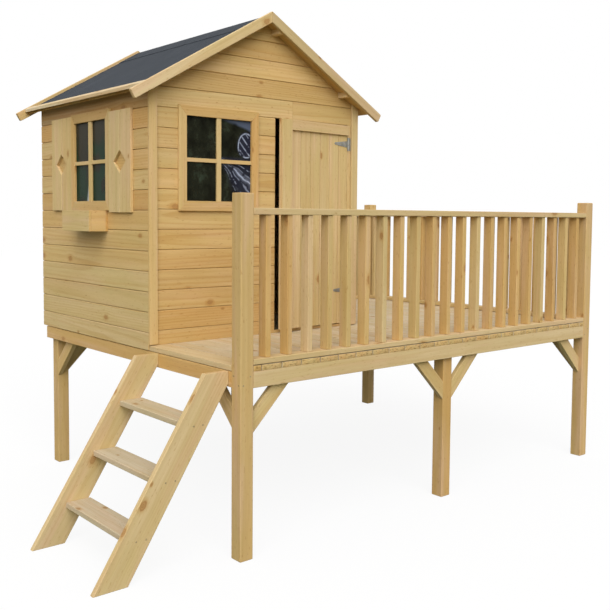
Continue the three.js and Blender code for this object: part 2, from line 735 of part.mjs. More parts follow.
// Roof: on each slope boards on two purlins, with a strip on them along the eave
const bargeFront = [cabinFront - frontOverhang, cabinFront - frontOverhang + bargeThickness];
const bargeBack = [cabinBack + backOverhang - bargeThickness, cabinBack + backOverhang];
const roofRun = [bargeFront[1] + seat, bargeBack[0] - seat];
const eaveReach = cabinWidth / 2 + eaveOverhang;
const stripOuter = ridgeLine - eaveReach;
const stripInner = stripOuter + eaveStripWidth;
const ridgeEdge = ridgeLine - seat / 2;
function slab(outer, inner, topDepth, bottomDepth) {
  return [
    [outer, roofHeight(outer, bottomDepth)],
    [inner, roofHeight(inner, bottomDepth)],
    [inner, roofHeight(inner, topDepth)],
    [outer, roofHeight(outer, topDepth)],
  ];
}
const slopeOutlines = [
  slab(stripOuter + boardInset, ridgeEdge, 0, roofBoardThickness),
  slab(stripOuter, stripInner, -eaveStripHeight, seat),
  ...purlinReaches.map((reach) => purlinOutline(reach, 0)),
];
function slopeOf(outlines) {
  return joined(outlines.map((outline) => prism(outline, "y", ...roofRun)));
}
add("roof_panel_left", slopeOf(slopeOutlines));
add("roof_panel_right", slopeOf(slopeOutlines.map(mirrored)));

// Felt: one skin over both slopes, doubled by a strip along the ridge
const feltEdge = stripInner + seat;
const feltSlope = slab(feltEdge, ridgeLine, -seat - feltThickness, -seat);
const feltStrip = slab(ridgeLine - ridgeStripReach, ridgeLine, -seat - 2 * feltThickness, -seat);
add("roof_felt", slopeOf([feltSlope, mirrored(feltSlope), feltStrip, mirrored(feltStrip)]), felt);

// Bargeboards: mitred at the apex, square cut with eased corners at the eaves
function eased(before, corner, after) {
  const at = new THREE.Vector2(...corner);
  const from = new THREE.Vector2(...before).sub(at).setLength(bargeRounding).add(at);
  const to = new THREE.Vector2(...after).sub(at).setLength(bargeRounding).add(at);
  return new THREE.QuadraticBezierCurve(from, at, to).getPoints(4).map(({ x, y }) => [x, y]);
}
const apexTop = [ridgeEdge, roofHeight(ridgeEdge, -bargeProud)];
const apexBottom = [ridgeEdge, roofHeight(ridgeEdge, bargeHeight - bargeProud)];
function bargeBoard(extra) {
  const end = ridgeLine - eaveReach - bargeOverhang - extra;
  const endTop = [end, roofHeight(end, -bargeProud)];
  const endBottom = [
    endTop[0] + bargeHeight * Math.sin(roofPitch),
    endTop[1] - bargeHeight * Math.cos(roofPitch),
  ];
  return [
    apexTop,
    ...eased(apexTop, endTop, endBottom),
    ...eased(endTop, endBottom, apexBottom),
    apexBottom,
  ];
}
const bargeOutline = bargeBoard(0);
add("bargeboard_front_left", prism(bargeBoard(longBargeExtra), "y", ...bargeFront));
add("bargeboard_front_right", prism(mirrored(bargeOutline), "y", ...bargeFront));
const backOutline = bargeOutline.map(([x, z]) => [x + (x === ridgeEdge ? seat : 0), z]);
add("bargeboards_back", joined([
  prism(backOutline, "y", ...bargeBack),
  prism(mirrored(backOutline), "y", ...bargeBack),
]));

// The origin is at ground level under the middle of the whole part
playhouse.position.set(
  -(ladderFoot + platformLength) / 2,
  -(cabinBack + backOverhang) / 2,
  0,
);

export default playhouse;
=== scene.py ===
# The looks of a children's playhouse on stilts: every timber as a board of its own with
# eased edges and its own grain, a felted roof, glazed windows and a hinged door.
# Metres, +Z up, +X to the right along the deck's front, +Y to the back.
import json
import random
from math import ceil, cos, pi, radians, sin, tan

import bmesh
import bpy
from mathutils import Matrix, Vector, noise


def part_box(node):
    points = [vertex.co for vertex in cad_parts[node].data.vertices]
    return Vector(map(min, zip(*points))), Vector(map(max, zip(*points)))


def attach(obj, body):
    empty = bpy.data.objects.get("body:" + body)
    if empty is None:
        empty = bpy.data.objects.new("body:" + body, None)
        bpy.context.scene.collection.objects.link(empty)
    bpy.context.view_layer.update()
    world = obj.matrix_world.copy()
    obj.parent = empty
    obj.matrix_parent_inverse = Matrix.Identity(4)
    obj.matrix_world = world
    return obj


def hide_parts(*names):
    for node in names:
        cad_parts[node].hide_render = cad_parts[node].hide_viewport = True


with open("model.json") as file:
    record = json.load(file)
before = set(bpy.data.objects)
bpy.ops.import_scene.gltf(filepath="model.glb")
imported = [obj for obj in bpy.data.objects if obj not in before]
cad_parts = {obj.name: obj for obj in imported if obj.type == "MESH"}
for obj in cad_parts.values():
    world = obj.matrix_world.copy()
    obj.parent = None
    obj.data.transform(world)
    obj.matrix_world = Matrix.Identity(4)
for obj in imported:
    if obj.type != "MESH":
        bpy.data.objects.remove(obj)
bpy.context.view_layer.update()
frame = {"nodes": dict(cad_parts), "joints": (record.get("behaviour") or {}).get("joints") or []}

scene = bpy.context.scene
X, Y, Z = Vector((1, 0, 0)), Vector((0, 1, 0)), Vector((0, 0, 1))
MM = 0.001
HOUSE, DOOR = "playhouse", "door"


def low(node):
    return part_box(node)[0]


def high(node):
    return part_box(node)[1]


def box_extent(node, axis):
    """Where a node's box starts and ends along an axis."""
    return sorted(corner.dot(axis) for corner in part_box(node))


def placed(name, data):
    """A new object in the scene."""
    made = bpy.data.objects.new(name, data)
    scene.collection.objects.link(made)
    return made


# Sizes of the real timbers that a node's box doesn't give
SEAT = 0.3 * MM
DECK_PITCH = 119 * MM
DECK_SLOT = 5.2 * MM
RAIL_HEIGHT = 30 * MM
BEAM_GAP = 2.5 * MM  # shadow gap between the left beam and the deck
RAIL_LIFT = 3 * MM  # the bottom rail stands a little clear of the deck
TREAD_TRIM = 8 * MM  # the treads' backs end flush with the stringers
CLADDING = 19 * MM
CLADDING_PITCH = 106.4 * MM
FRONT_FIRST_JOINT = 75 * MM  # above the deck
SIDE_FIRST_JOINT = 68 * MM
CLADDING_GAP = 1.4 * MM
TOP_COURSE = 8 * MM  # the least height of a wall's top board
TONGUE = 6 * MM
TONGUE_SET = 2 * MM  # the tongues lie this far behind the boards' middle
FRONT_TRIM_SIDE = 48 * MM
SIDE_TRIM_SIDE = 42 * MM
TRIM_RAIL = 54 * MM
FRONT_UPRIGHT = 29 * MM  # the glazing bars' widths
SIDE_UPRIGHT = 36 * MM
CROSS_BAR = 21 * MM
CROSS_BAR_RISE = 219 * MM  # its centre above the clear bottom
BAR_DEPTH = 12 * MM
PANE_SET = 0.7 * MM  # the wavy face lies this far inside the model's
PANE_WAVE = 0.6 * MM
SHUTTER_GROOVE = 5.2 * MM
SHUTTER_STRIP = 7 * MM  # from the front to the strip that closes the groove
PLANTER_WALL = 14 * MM
DOOR_STILE = 79 * MM
DOOR_PITCH = 79 * MM
DOOR_RAIL = 60 * MM
DOOR_FRAME = 14 * MM  # the stile and rail stand this far out of the boards
DOOR_BOARD = 16 * MM
DOOR_GROOVE = 3 * MM
DOOR_STRIP = 5 * MM  # from the boards' front to the strips that close the grooves
STRIP_BACK = 3 * MM  # those strips stay this far inside the boards' backs
STRIP_END = 1 * MM
LEDGE_HEIGHT = 70 * MM
LEDGE_INSET = 30 * MM
ROOF_PITCH = radians(30.2)
ROOF_BOARD = 18 * MM
ROOF_BOARD_COUNT = 14
EAVE_STRIP = 30 * MM
EAVE_STRIP_HEIGHT = 17 * MM
BOARD_INSET = 20 * MM  # from the eave strip's outside to the boards' ends
PURLIN_WIDTH = 32 * MM
PURLIN_HEIGHT = 14 * MM
PURLIN_REACHES = (80 * MM, 599 * MM)
FELT = 3 * MM
FELT_WAVE = 0.9 * MM
RIDGE_STRIP = 150 * MM

# Camera, fitted to the photograph
CAMERA_PLACE = Vector((-3.2997, -4.1954, 1.5780))
CAMERA_TURNS = (40.0726, -3.68, 0.4392)  # yaw, pitch and roll in degrees
CAMERA_LENS = 49.984
CAMERA_SHIFT = (0.001817, -0.05487)


def add_camera():
    yaw, pitch, roll = (radians(turn) for turn in CAMERA_TURNS)
    forward = Vector((sin(yaw) * cos(pitch), cos(yaw) * cos(pitch), sin(pitch)))
    right = Vector((cos(yaw), -sin(yaw), 0))
    up = right.cross(forward)
    side = right * cos(roll) + up * sin(roll)
    top = up * cos(roll) - right * sin(roll)
    camera = placed("camera", bpy.data.cameras.new("camera"))
    camera.data.lens, camera.data.sensor_width = CAMERA_LENS, 36
    camera.data.shift_x, camera.data.shift_y = CAMERA_SHIFT
    turn = Matrix((side, top, -forward)).transposed().to_4x4()
    camera.matrix_world = Matrix.Translation(CAMERA_PLACE) @ turn
    scene.camera = camera


add_camera()


# Materials
def colour(red, green, blue):
    """A colour written as it looks on a screen, 0 to 255, turned into light."""
    def light(value):
        share = value / 255
        return share / 12.92 if share <= 0.04045 else ((share + 0.055) / 1.055) ** 2.4
    return (light(red), light(green), light(blue), 1)


class Shader:
    """A material's or the sky's node tree, built by short calls that pass sockets along."""

    def __init__(self, block):
        block.use_nodes = True
        self.block, self.tree = block, block.node_tree
        self.tree.nodes.clear()

    def feed(self, socket, value):
        if isinstance(value, bpy.types.NodeSocket):
            self.tree.links.new(value, socket)
        else:
            socket.default_value = value

    def node(self, kind, inputs=(), **settings):
        made = self.tree.nodes.new("ShaderNode" + kind)
        for key, value in settings.items():
            setattr(made, key, value)
        for key, value in dict(inputs).items():
            self.feed(made.inputs[key], value)
        return made

    def maths(self, operation, *values):
        return self.node("Math", enumerate(values), operation=operation).outputs[0]

    def times(self, first, second):
        return self.maths("MULTIPLY", first, second)

    def over(self, first, second):
        return self.maths("DIVIDE", first, second)

    def plus(self, base, added, share=1.0):
        """The base with a share of another value added."""
        return self.maths("MULTIPLY_ADD", added, share, base)

    def minus(self, first, second):
        return self.maths("SUBTRACT", first, second)

    def square(self, value):
        return self.maths("POWER", value, 2.0)

    def length(self, first, second):
        """How far a point in a plane lies from the origin."""
        return self.maths("SQRT", self.plus(self.square(first), self.square(second)))

    def scaled(self, vector, factors):
        return self.node("VectorMath", {0: vector, 1: factors}, operation="MULTIPLY").outputs[0]

    def parts(self, vector):
        return self.node("SeparateXYZ", {0: vector}).outputs

    def object_place(self):
        return self.node("TexCoord").outputs["Object"]

    def attribute(self, name):
        return self.node("Attribute", attribute_name=name).outputs

    def noise(self, vector, factors, detail=2.0, roughness=0.5):
        return self.node("TexNoise", {"Vector": self.scaled(vector, factors), "Scale": 1.0,
                                      "Detail": detail, "Roughness": roughness}).outputs["Fac"]

    def span(self, value, start, end, to_start=0.0, to_end=1.0, style="LINEAR"):
        return self.node("MapRange", {0: value, 1: start, 2: end, 3: to_start, 4: to_end},
                         interpolation_type=style).outputs[0]

    def eased(self, *values):
        """A span that starts and ends gently."""
        return self.span(*values, style="SMOOTHSTEP")

    def mix(self, factor, first, second, blend="MIX"):
        return self.node("Mix", {0: factor, 6: first, 7: second}, data_type="RGBA",
                         blend_type=blend).outputs[2]

    def tint(self, factor, base, *shade):
        """Multiplies a colour by a shade, as far as the factor says."""
        return self.mix(factor, base, (*shade, 1), "MULTIPLY")

    def ramp(self, factor, stops):
        made = self.node("ValToRGB", {0: factor})
        points = made.color_ramp.elements
        while len(points) < len(stops):
            points.new(1.0)
        for point, (place, shade) in zip(points, stops):
            point.position, point.color = place, shade
        return made.outputs[0]

    def bump(self, height, distance, strength):
        return self.node("Bump", {"Height": height, "Distance": distance,
                                  "Strength": strength}).outputs[0]

    def white(self, kind, strength):
        return self.node(kind, {"Color": (1, 1, 1, 1), "Strength": strength}).outputs[0]

    def split(self, output, lighting, seen):
        """One look lights the scene, the other shows in sight, in gloss and through glass."""
        path = self.node("LightPath").outputs
        shows = self.maths("MAXIMUM", path["Is Camera Ray"], self.maths(
            "MAXIMUM", path["Is Glossy Ray"], path["Is Transmission Ray"]))
        both = self.node("MixShader", {0: shows, 1: lighting, 2: seen})
        self.node(output, {0: both.outputs[0]})

    def surface(self, **inputs):
        named = {key.replace("_", " ").title().replace("Ior", "IOR"): value
                 for key, value in inputs.items()}
        skin = self.node("BsdfPrincipled", named)
        self.node("OutputMaterial", {0: skin.outputs[0]})
        return self.block


PINE_TONES = (
    (0.0, colour(214, 190, 147)),
    (0.2, colour(208, 183, 130)),
    (0.4, colour(209, 176, 119)),
    (0.6, colour(206, 168, 108)),
    (0.8, colour(201, 156, 94)),
    (0.9, colour(208, 186, 150)),
    (1.0, colour(212, 197, 169)),
)
KNOT_CELL = (2.3, 7.5, 0.0)  # cells to the metre along and across the grain


def pine(name, ring_width=11 * MM, contrast=1.0, knot_share=0.5, knot_size=10 * MM,
         roughness=0.62, sawn=0.0, blush=0.4, end_tint=(0.95, 0.88, 0.76), end_pits=0.3):
    """Softwood with year rings, fibres and knots, laid out by each board's own grain."""
    s = Shader(bpy.data.materials.new(name))
    wood = s.attribute("wood")["Vector"]
    grain = s.attribute("grain")["Vector"]
    board = s.attribute("board")
    tone, shade, spread = s.node("SeparateColor", {0: board["Color"]}).outputs
    end = s.parts(grain)[2]

    # Knots, at most one in each cell of a face
    cells = s.scaled(grain, KNOT_CELL)
    knot = s.node("TexVoronoi", {"Vector": cells, "Scale": 1.0, "Randomness": 1.0},
                  voronoi_dimensions="2D").outputs
    chance, size_draw, _ = s.node("SeparateColor", {0: knot["Color"]}).outputs
    offset = s.node("VectorMath", {0: cells, 1: knot["Position"]}, operation="SUBTRACT")
    back_to_metres = (1 / KNOT_CELL[0], 1 / KNOT_CELL[1], 0.0)
    off_along, off_across, _ = s.parts(s.scaled(offset.outputs[0], back_to_metres))
    share = s.times(board["Alpha"], knot_share)
    present = s.times(s.maths("LESS_THAN", chance, share), s.minus(1.0, end))
    size = s.times(s.span(size_draw, 0.0, 1.0, 0.45, 1.25), knot_size)
    ragged = s.span(s.noise(grain, (60, 90, 0), 1.0), 0.3, 0.7, 0.85, 1.15)
    reach = s.over(s.times(s.length(s.times(off_along, 0.62), off_across), ragged), size)
    core = s.times(s.eased(reach, 0.75, 1.1, 1.0, 0.0), present)
    rim = s.times(s.eased(reach, 1.0, 2.0, 1.0, 0.0), present)
    swirl = s.plus(s.square(s.over(off_along, s.times(size, 4.2))),
                   s.square(s.over(off_across, s.times(size, 2.3))))
    swirl = s.maths("EXPONENT", s.times(swirl, -1.0))
    swirl = s.times(s.times(swirl, present), 0.82)

    # Year rings round the pith, which swerve at the knots
    wander = s.minus(s.noise(wood, (0.9, 8, 8), 1.0), 0.5)
    ripple = s.minus(s.noise(wood, (5, 45, 45), 1.0), 0.5)
    _, across, through = s.parts(wood)
    bent = s.minus(across, s.times(off_across, swirl))
    radius = s.plus(s.length(bent, through), wander, 0.030)
    radius = s.plus(radius, ripple, 0.0035)
    phase = s.over(radius, s.times(spread, ring_width))
    year = s.maths("FRACT", phase)
    strength = s.node("TexWhiteNoise", {"W": s.maths("FLOOR", phase)},
                      noise_dimensions="1D").outputs["Value"]
    late = s.minus(s.eased(year, 0.3, 0.9), s.eased(year, 0.9, 1.0))
    late = s.times(late, s.span(strength, 0.0, 1.0, 0.35, 1.0))

    drift = s.minus(s.noise(wood, (0.8, 12, 12), 3.0, 0.6), 0.5)
    base = s.ramp(s.plus(tone, drift, 0.45), PINE_TONES)
    pink = s.eased(s.noise(wood, (1.3, 17, 17), 3.0, 0.6), 0.45, 0.68, 0.0, blush)
    base = s.mix(pink, base, colour(216, 182, 148))
    base = s.tint(s.times(late, 0.62 * contrast), base, 0.84, 0.71, 0.52)
    streak = s.span(s.noise(wood, (1.1, 30, 30), 2.0, 0.6), 0.3, 0.7)
    base = s.tint(streak, base, 0.91, 0.89, 0.83)
    fibre = s.noise(wood, (6, 260, 260), 2.0, 0.6)
    base = s.tint(s.span(fibre, 0.35, 0.75), base, 0.93, 0.90, 0.86)
    fleck = s.span(s.noise(wood, (34, 150, 150), 2.0, 0.6), 0.63, 0.72, 0.0, 0.7)
    base = s.tint(fleck, base, 0.70, 0.56, 0.38)
    blotch = s.span(s.noise(wood, (2.2, 3.5, 3.5), 2.0), 0.45, 0.7, 0.0, 0.6)
    base = s.tint(blotch, base, 0.91, 0.93, 0.80)
    base = s.tint(end, base, *end_tint)
    pits = s.span(s.noise(grain, (55, 120, 0), 3.0, 0.6), 0.50, 0.66, 0.0, end_pits)
    base = s.tint(s.times(pits, end), base, 0.42, 0.34, 0.20)
    base = s.tint(s.times(rim, 0.6), base, 0.82, 0.68, 0.48)
    knot_ring = s.maths("FRACT", s.times(reach, 2.6))
    knot_wood = s.mix(knot_ring, colour(178, 134, 78), colour(146, 100, 55))
    base = s.mix(s.times(core, 0.75), base, knot_wood)
    base = s.node("VectorMath", {0: base, 3: shade}, operation="SCALE").outputs[0]

    height = s.plus(s.times(fibre, 0.7), s.times(late, 0.35))
    if sawn:
        marks = s.noise(wood, (420, 12, 12), 1.0)
        height = s.plus(height, marks, sawn)
    rough = s.plus(roughness, streak, 0.08)
    return s.surface(base_color=base, roughness=rough, specular_ior_level=0.32,
                     normal=s.bump(height, 0.6 * MM, 0.4))


def felt_material():
    s = Shader(bpy.data.materials.new("mineral felt"))
    place = s.object_place()
    grit = s.node("TexVoronoi", {"Vector": place, "Scale": 620.0}).outputs
    speck = s.node("SeparateColor", {0: grit["Color"]}).outputs[0]
    mottle = s.noise(place, (5, 5, 5), 4.0, 0.6)
    streak = s.noise(place, (2.0, 14, 2.0), 3.0)
    base = s.mix(speck, colour(39, 44, 50), colour(59, 64, 71))
    base = s.tint(s.span(mottle, 0.35, 0.7), base, 0.86, 0.87, 0.89)
    base = s.mix(s.span(streak, 0.55, 0.8, 0.0, 0.25), base, colour(74, 80, 87))
    height = s.plus(s.times(grit["Distance"], 0.8), s.times(mottle, 0.6))
    return s.surface(base_color=base, roughness=0.93, specular_ior_level=0.25,
                     normal=s.bump(height, 1.0 * MM, 0.6))


def zinc_material():
    s = Shader(bpy.data.materials.new("zinc"))
    place = s.object_place()
    spangle = s.node("TexVoronoi", {"Vector": place, "Scale": 260.0}).outputs["Color"]
    draw = s.node("SeparateColor", {0: spangle}).outputs[0]
    brush = s.noise(place, (160, 160, 1900), 2.0)
    dull = s.noise(place, (45, 45, 45), 3.0)
    base = s.mix(draw, colour(138, 138, 132), colour(157, 156, 149))
    base = s.mix(s.span(dull, 0.45, 0.7, 0.0, 0.7), base, colour(112, 112, 104))
    rough = s.span(brush, 0.3, 0.7, 0.42, 0.6)
    return s.surface(base_color=base, metallic=0.6, roughness=rough,
                     normal=s.bump(brush, 0.1 * MM, 0.25))


def screw_material():
    s = Shader(bpy.data.materials.new("yellow passivated steel"))
    place = s.object_place()
    stain = s.noise(place, (190, 190, 190), 3.0)
    base = s.mix(s.span(stain, 0.35, 0.7), colour(176, 158, 118), colour(120, 108, 84))
    rough = s.span(stain, 0.3, 0.7, 0.38, 0.6)
    return s.surface(base_color=base, metallic=0.8, roughness=rough)


# Where the film's fold lines lie in their fan, and how bright each one's painted highlight is
FAN_FOLD_GLINTS = ((0.27, 0.0), (0.285, 0.7), (0.30, 0.0), (0.36, 0.0), (0.372, 0.4), (0.384, 0.1),
             (0.42, 0.2), (0.435, 0.9), (0.455, 0.15), (0.49, 0.0), (0.505, 0.5), (0.52, 0.0),
             (0.565, 0.0), (0.58, 0.8), (0.595, 0.1), (0.65, 0.0), (0.662, 0.5), (0.675, 0.0))


def pane_material():
    """Clear sheet over a dark room, with the wrinkled film that still covers it. Its colour
    holds the room's darkness as painted shade, painted reflections, and painted highlights on
    the film.
    """
    s = Shader(bpy.data.materials.new("clear acrylic"))
    place = s.object_place()
    film = s.attribute("film")["Vector"]
    across, up, side = s.parts(film)
    leaf_reflections = s.noise(place, (15, 15, 11), 4.0, 0.65)
    wavy = s.minus(s.noise(place, (9, 9, 9), 2.0), 0.5)

    # The front pane: the dark room as painted shade, with painted reflections of leaves, and a
    # painted reflection of the sky above on its right half
    dark = s.ramp(leaf_reflections, ((0.35, colour(18, 18, 10)), (0.6, colour(36, 38, 27)),
                           (0.8, colour(62, 74, 60))))
    skyline = s.plus(up, across, 0.31)
    skyline = s.plus(skyline, wavy, 0.12)
    right = s.span(across, 0.5, 0.52)
    sky = s.times(s.eased(skyline, 1.11, 1.16), right)
    front = s.mix(s.times(sky, 0.75), dark, colour(92, 102, 124))
    broken = s.eased(s.noise(place, (30, 30, 36), 3.0), 0.36, 0.56)

    # Folds that fan out from the bars' crossing, each lit by a painted highlight
    fan_run = s.times(s.minus(across, 0.47), 63.0)
    fan_rise = s.times(s.minus(0.56, up), 80.0)
    fan_turn = s.plus(s.maths("ARCTAN2", fan_rise, fan_run), wavy, 0.3)
    fan = s.ramp(s.over(fan_turn, 1.6),
                 [(at, (value, value, value, 1)) for at, value in FAN_FOLD_GLINTS])
    low_part = s.eased(up, 0.51, 0.56, 1.0, 0.0)
    fan = s.times(fan, low_part)
    # A fold shaped like a loop in the upper pane, with creases across it, drawn as painted
    # highlights on its rim and creases
    loop_run = s.times(s.minus(across, 0.91), 8.0)
    loop_rise = s.times(s.minus(up, 0.68), 7.6)
    loop_reach = s.plus(s.length(loop_run, loop_rise), wavy, 0.5)
    rim = s.maths("ABSOLUTE", s.minus(loop_reach, 1.0))
    rim = s.eased(rim, 0.02, 0.10, 0.7, 0.0)
    slope = s.plus(s.plus(loop_run, wavy, 0.4), loop_rise)
    creases = s.span(s.maths("SINE", s.times(slope, 9.0)), 0.5, 0.95, 0.0, 0.6)
    creases = s.times(creases, s.span(loop_reach, 0.85, 0.95, 1.0, 0.0))
    folds_and_glints = s.maths("MAXIMUM", fan, s.maths("MAXIMUM", rim, creases))
    folds_and_glints = s.times(s.times(folds_and_glints, broken), right)
    # A painted bluish reflection round the loop and below the fan, on the right half
    reflected_haze = s.maths("MAXIMUM", s.eased(loop_reach, 0.9, 1.3, 0.6, 0.0),
                   s.times(low_part, s.span(fan_turn, 0.9, 1.25, 0.5, 0.0)))
    front = s.mix(s.times(reflected_haze, right), front, colour(42, 44, 66))
    # Painted highlights along the film's fold lines
    front = s.mix(folds_and_glints, front, colour(182, 192, 216))

    # The side pane: the dark room as painted shade, lighter towards the top, with painted
    # greenish reflections in patches and a painted glint low down
    green = s.eased(s.noise(place, (7, 7, 6), 1.0), 0.46, 0.58)
    band = s.times(s.eased(up, 0.85, 0.6), green)
    plain = s.mix(up, colour(36, 38, 28), colour(62, 57, 46))
    plain = s.mix(s.times(band, 0.8), plain, colour(34, 58, 42))
    slant = s.plus(across, up, 0.25)
    line = s.maths("ABSOLUTE", s.minus(slant, 0.62))
    line = s.times(s.eased(line, 0.01, 0.05, 1.0, 0.0), s.eased(up, 0.34, 0.22))
    plain = s.mix(s.times(line, 0.85), plain, colour(190, 196, 200))
    base = s.mix(side, front, plain)
    return s.surface(base_color=base, roughness=0.25, alpha=0.96, specular_ior_level=0.04,
                     normal=s.bump(folds_and_glints, 2 * MM, 0.3))


CLADDING_PINE = pine("cladding pine", ring_width=15 * MM, contrast=0.95, knot_share=0.34,
                     knot_size=12 * MM, blush=0.22)
POST_PINE = pine("post pine", ring_width=16 * MM, contrast=0.35, knot_share=0.25,
                 roughness=0.66, blush=0.6)
DECK_PINE = pine("deck pine", ring_width=14 * MM, contrast=0.5, knot_share=0.4,
                 roughness=0.7, end_tint=(0.98, 0.84, 0.56), end_pits=0.85)
TRIM_PINE = pine("planed pine", ring_width=14 * MM, contrast=0.5, knot_share=0.42,
                 knot_size=13 * MM, blush=0.5)
ROUGH_PINE = pine("sawn pine", ring_width=12 * MM, contrast=0.9, knot_share=0.45,
                  roughness=0.78, sawn=0.5)
FELT_SKIN = felt_material()
ZINC = zinc_material()
SCREW = screw_material()
PANE = pane_material()

# Solids
WELD = 0.002 * MM
FLAT = radians(0.5)
EASED_ANGLE = radians(28)


def cad_solid(node):
    body = bmesh.new()
    body.from_mesh(frame["nodes"][node].data)
    bmesh.ops.remove_doubles(body, verts=body.verts, dist=WELD)
    bmesh.ops.dissolve_limit(body, angle_limit=FLAT, verts=body.verts, edges=body.edges)
    return body


def cut_away(body, point, normal):
    """Takes off what lies beyond a plane, on the side its normal points to."""
    everything = body.verts[:] + body.edges[:] + body.faces[:]
    done = bmesh.ops.bisect_plane(body, geom=everything, dist=WELD, plane_co=point,
                                  plane_no=normal, clear_outer=True)
    rim = [part for part in done["geom_cut"] if isinstance(part, bmesh.types.BMEdge)]
    if rim:
        # Closes the cut but leaves openings open, then joins the triangles again
        filled = bmesh.ops.triangle_fill(body, edges=rim, normal=normal)["geom"]
        faces = [part for part in filled if isinstance(part, bmesh.types.BMFace)]
        seams = [edge for edge in dict.fromkeys(edge for face in faces for edge in face.edges)
                 if len(edge.link_faces) == 2 and all(side in faces for side in edge.link_faces)]
        bmesh.ops.dissolve_limit(body, angle_limit=FLAT, verts=[], edges=seams)
        faced(body)


def sliced(body, axis, start=None, end=None):
    """A copy of what lies between two places along an axis."""
    part = body.copy()
    if start is not None:
        cut_away(part, axis * start, -axis)
    if end is not None:
        cut_away(part, axis * end, axis)
    return part


def islands(body):
    """The separate lumps of a solid, each as a solid of its own, in a settled order."""
    body.verts.index_update()
    seen, parts = set(), []
    for first in body.verts:
        if first.index in seen:
            continue
        lump, edge = {first.index}, [first]
        while edge:
            for link in edge.pop().link_edges:
                for vert in link.verts:
                    if vert.index not in lump:
                        lump.add(vert.index)
                        edge.append(vert)
        seen |= lump
        part = body.copy()
        rest = [vert for vert in part.verts if vert.index not in lump]
        bmesh.ops.delete(part, geom=rest, context="VERTS")
        parts.append(part)
    return parts


def faced(body):
    """The body with all its faces turned outwards."""
    bmesh.ops.recalc_face_normals(body, faces=body.faces)
    return body


def band(body, near, far, closed=False):
    """Adds the faces between two rows or rings of points."""
    for i in range(len(near) if closed else len(near) - 1):
        j = (i + 1) % len(near)
        body.faces.new((near[i], near[j], far[j], far[i]))


def extruded(points, travel):
    """A solid with the outline given by its points, as thick as travel."""
    body = bmesh.new()
    near = [body.verts.new(point) for point in points]
    far = [body.verts.new(Vector(point) + travel) for point in points]
    body.faces.new(near)
    body.faces.new(far)
    band(body, near, far, closed=True)
    return faced(body)


def oblong(x0, y0, x1, y1):
    """The corners of a rectangle, in turn."""
    return (x0, y0), (x1, y0), (x1, y1), (x0, y1)


def plank(start, end):
    """A box between two corners."""
    (x0, y0, z0), (x1, y1, z1) = start, end
    return extruded([(x, y, z0) for x, y in oblong(x0, y0, x1, y1)], Z * (z1 - z0))


def add_sheet(body, rows, columns, place):
    """Adds a thin sheet of small faces; place tells where the points of its outer and
    its inner face lie."""
    outer, inner = ([[body.verts.new(place(i, j, is_outer)) for j in range(columns + 1)]
                     for i in range(rows + 1)] for is_outer in (True, False))
    for layer in (outer, inner):
        for near, far in zip(layer, layer[1:]):
            band(body, near, far)
    for end in (0, -1):
        band(body, outer[end], inner[end])
        band(body, [line[end] for line in outer], [line[end] for line in inner])


def longest_edge(body):
    edge = max(body.edges, key=lambda e: round(e.calc_length(), 6))
    return (edge.verts[1].co - edge.verts[0].co).normalized()


def square_to(along):
    """Two directions at right angles to a given one and to each other."""
    helper = min((X, Y, Z), key=lambda axis: abs(axis.dot(along)))
    first = (helper - along * helper.dot(along)).normalized()
    return first, along.cross(first)


def extent(body, axis):
    places = [vert.co.dot(axis) for vert in body.verts]
    return min(places), max(places)


# Pieces
def mesh_of(name, body):
    mesh = bpy.data.meshes.new(name)
    body.to_mesh(mesh)
    body.free()
    return mesh


def show(name, solid, material, slot, body=HOUSE, nodes=(), placing=None, crease=None):
    """Shows a solid as a piece that rides on a body, smooth up to a crease's angle."""
    if crease:
        for face in solid.faces:
            face.smooth = True
    mesh = mesh_of(name, solid)
    if crease:
        mesh.set_sharp_from_angle(angle=crease)
    if placing:
        mesh.transform(placing)
    mesh.materials.append(material)
    piece = placed(name, mesh)
    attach(piece, body)
    if nodes:
        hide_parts(*nodes)


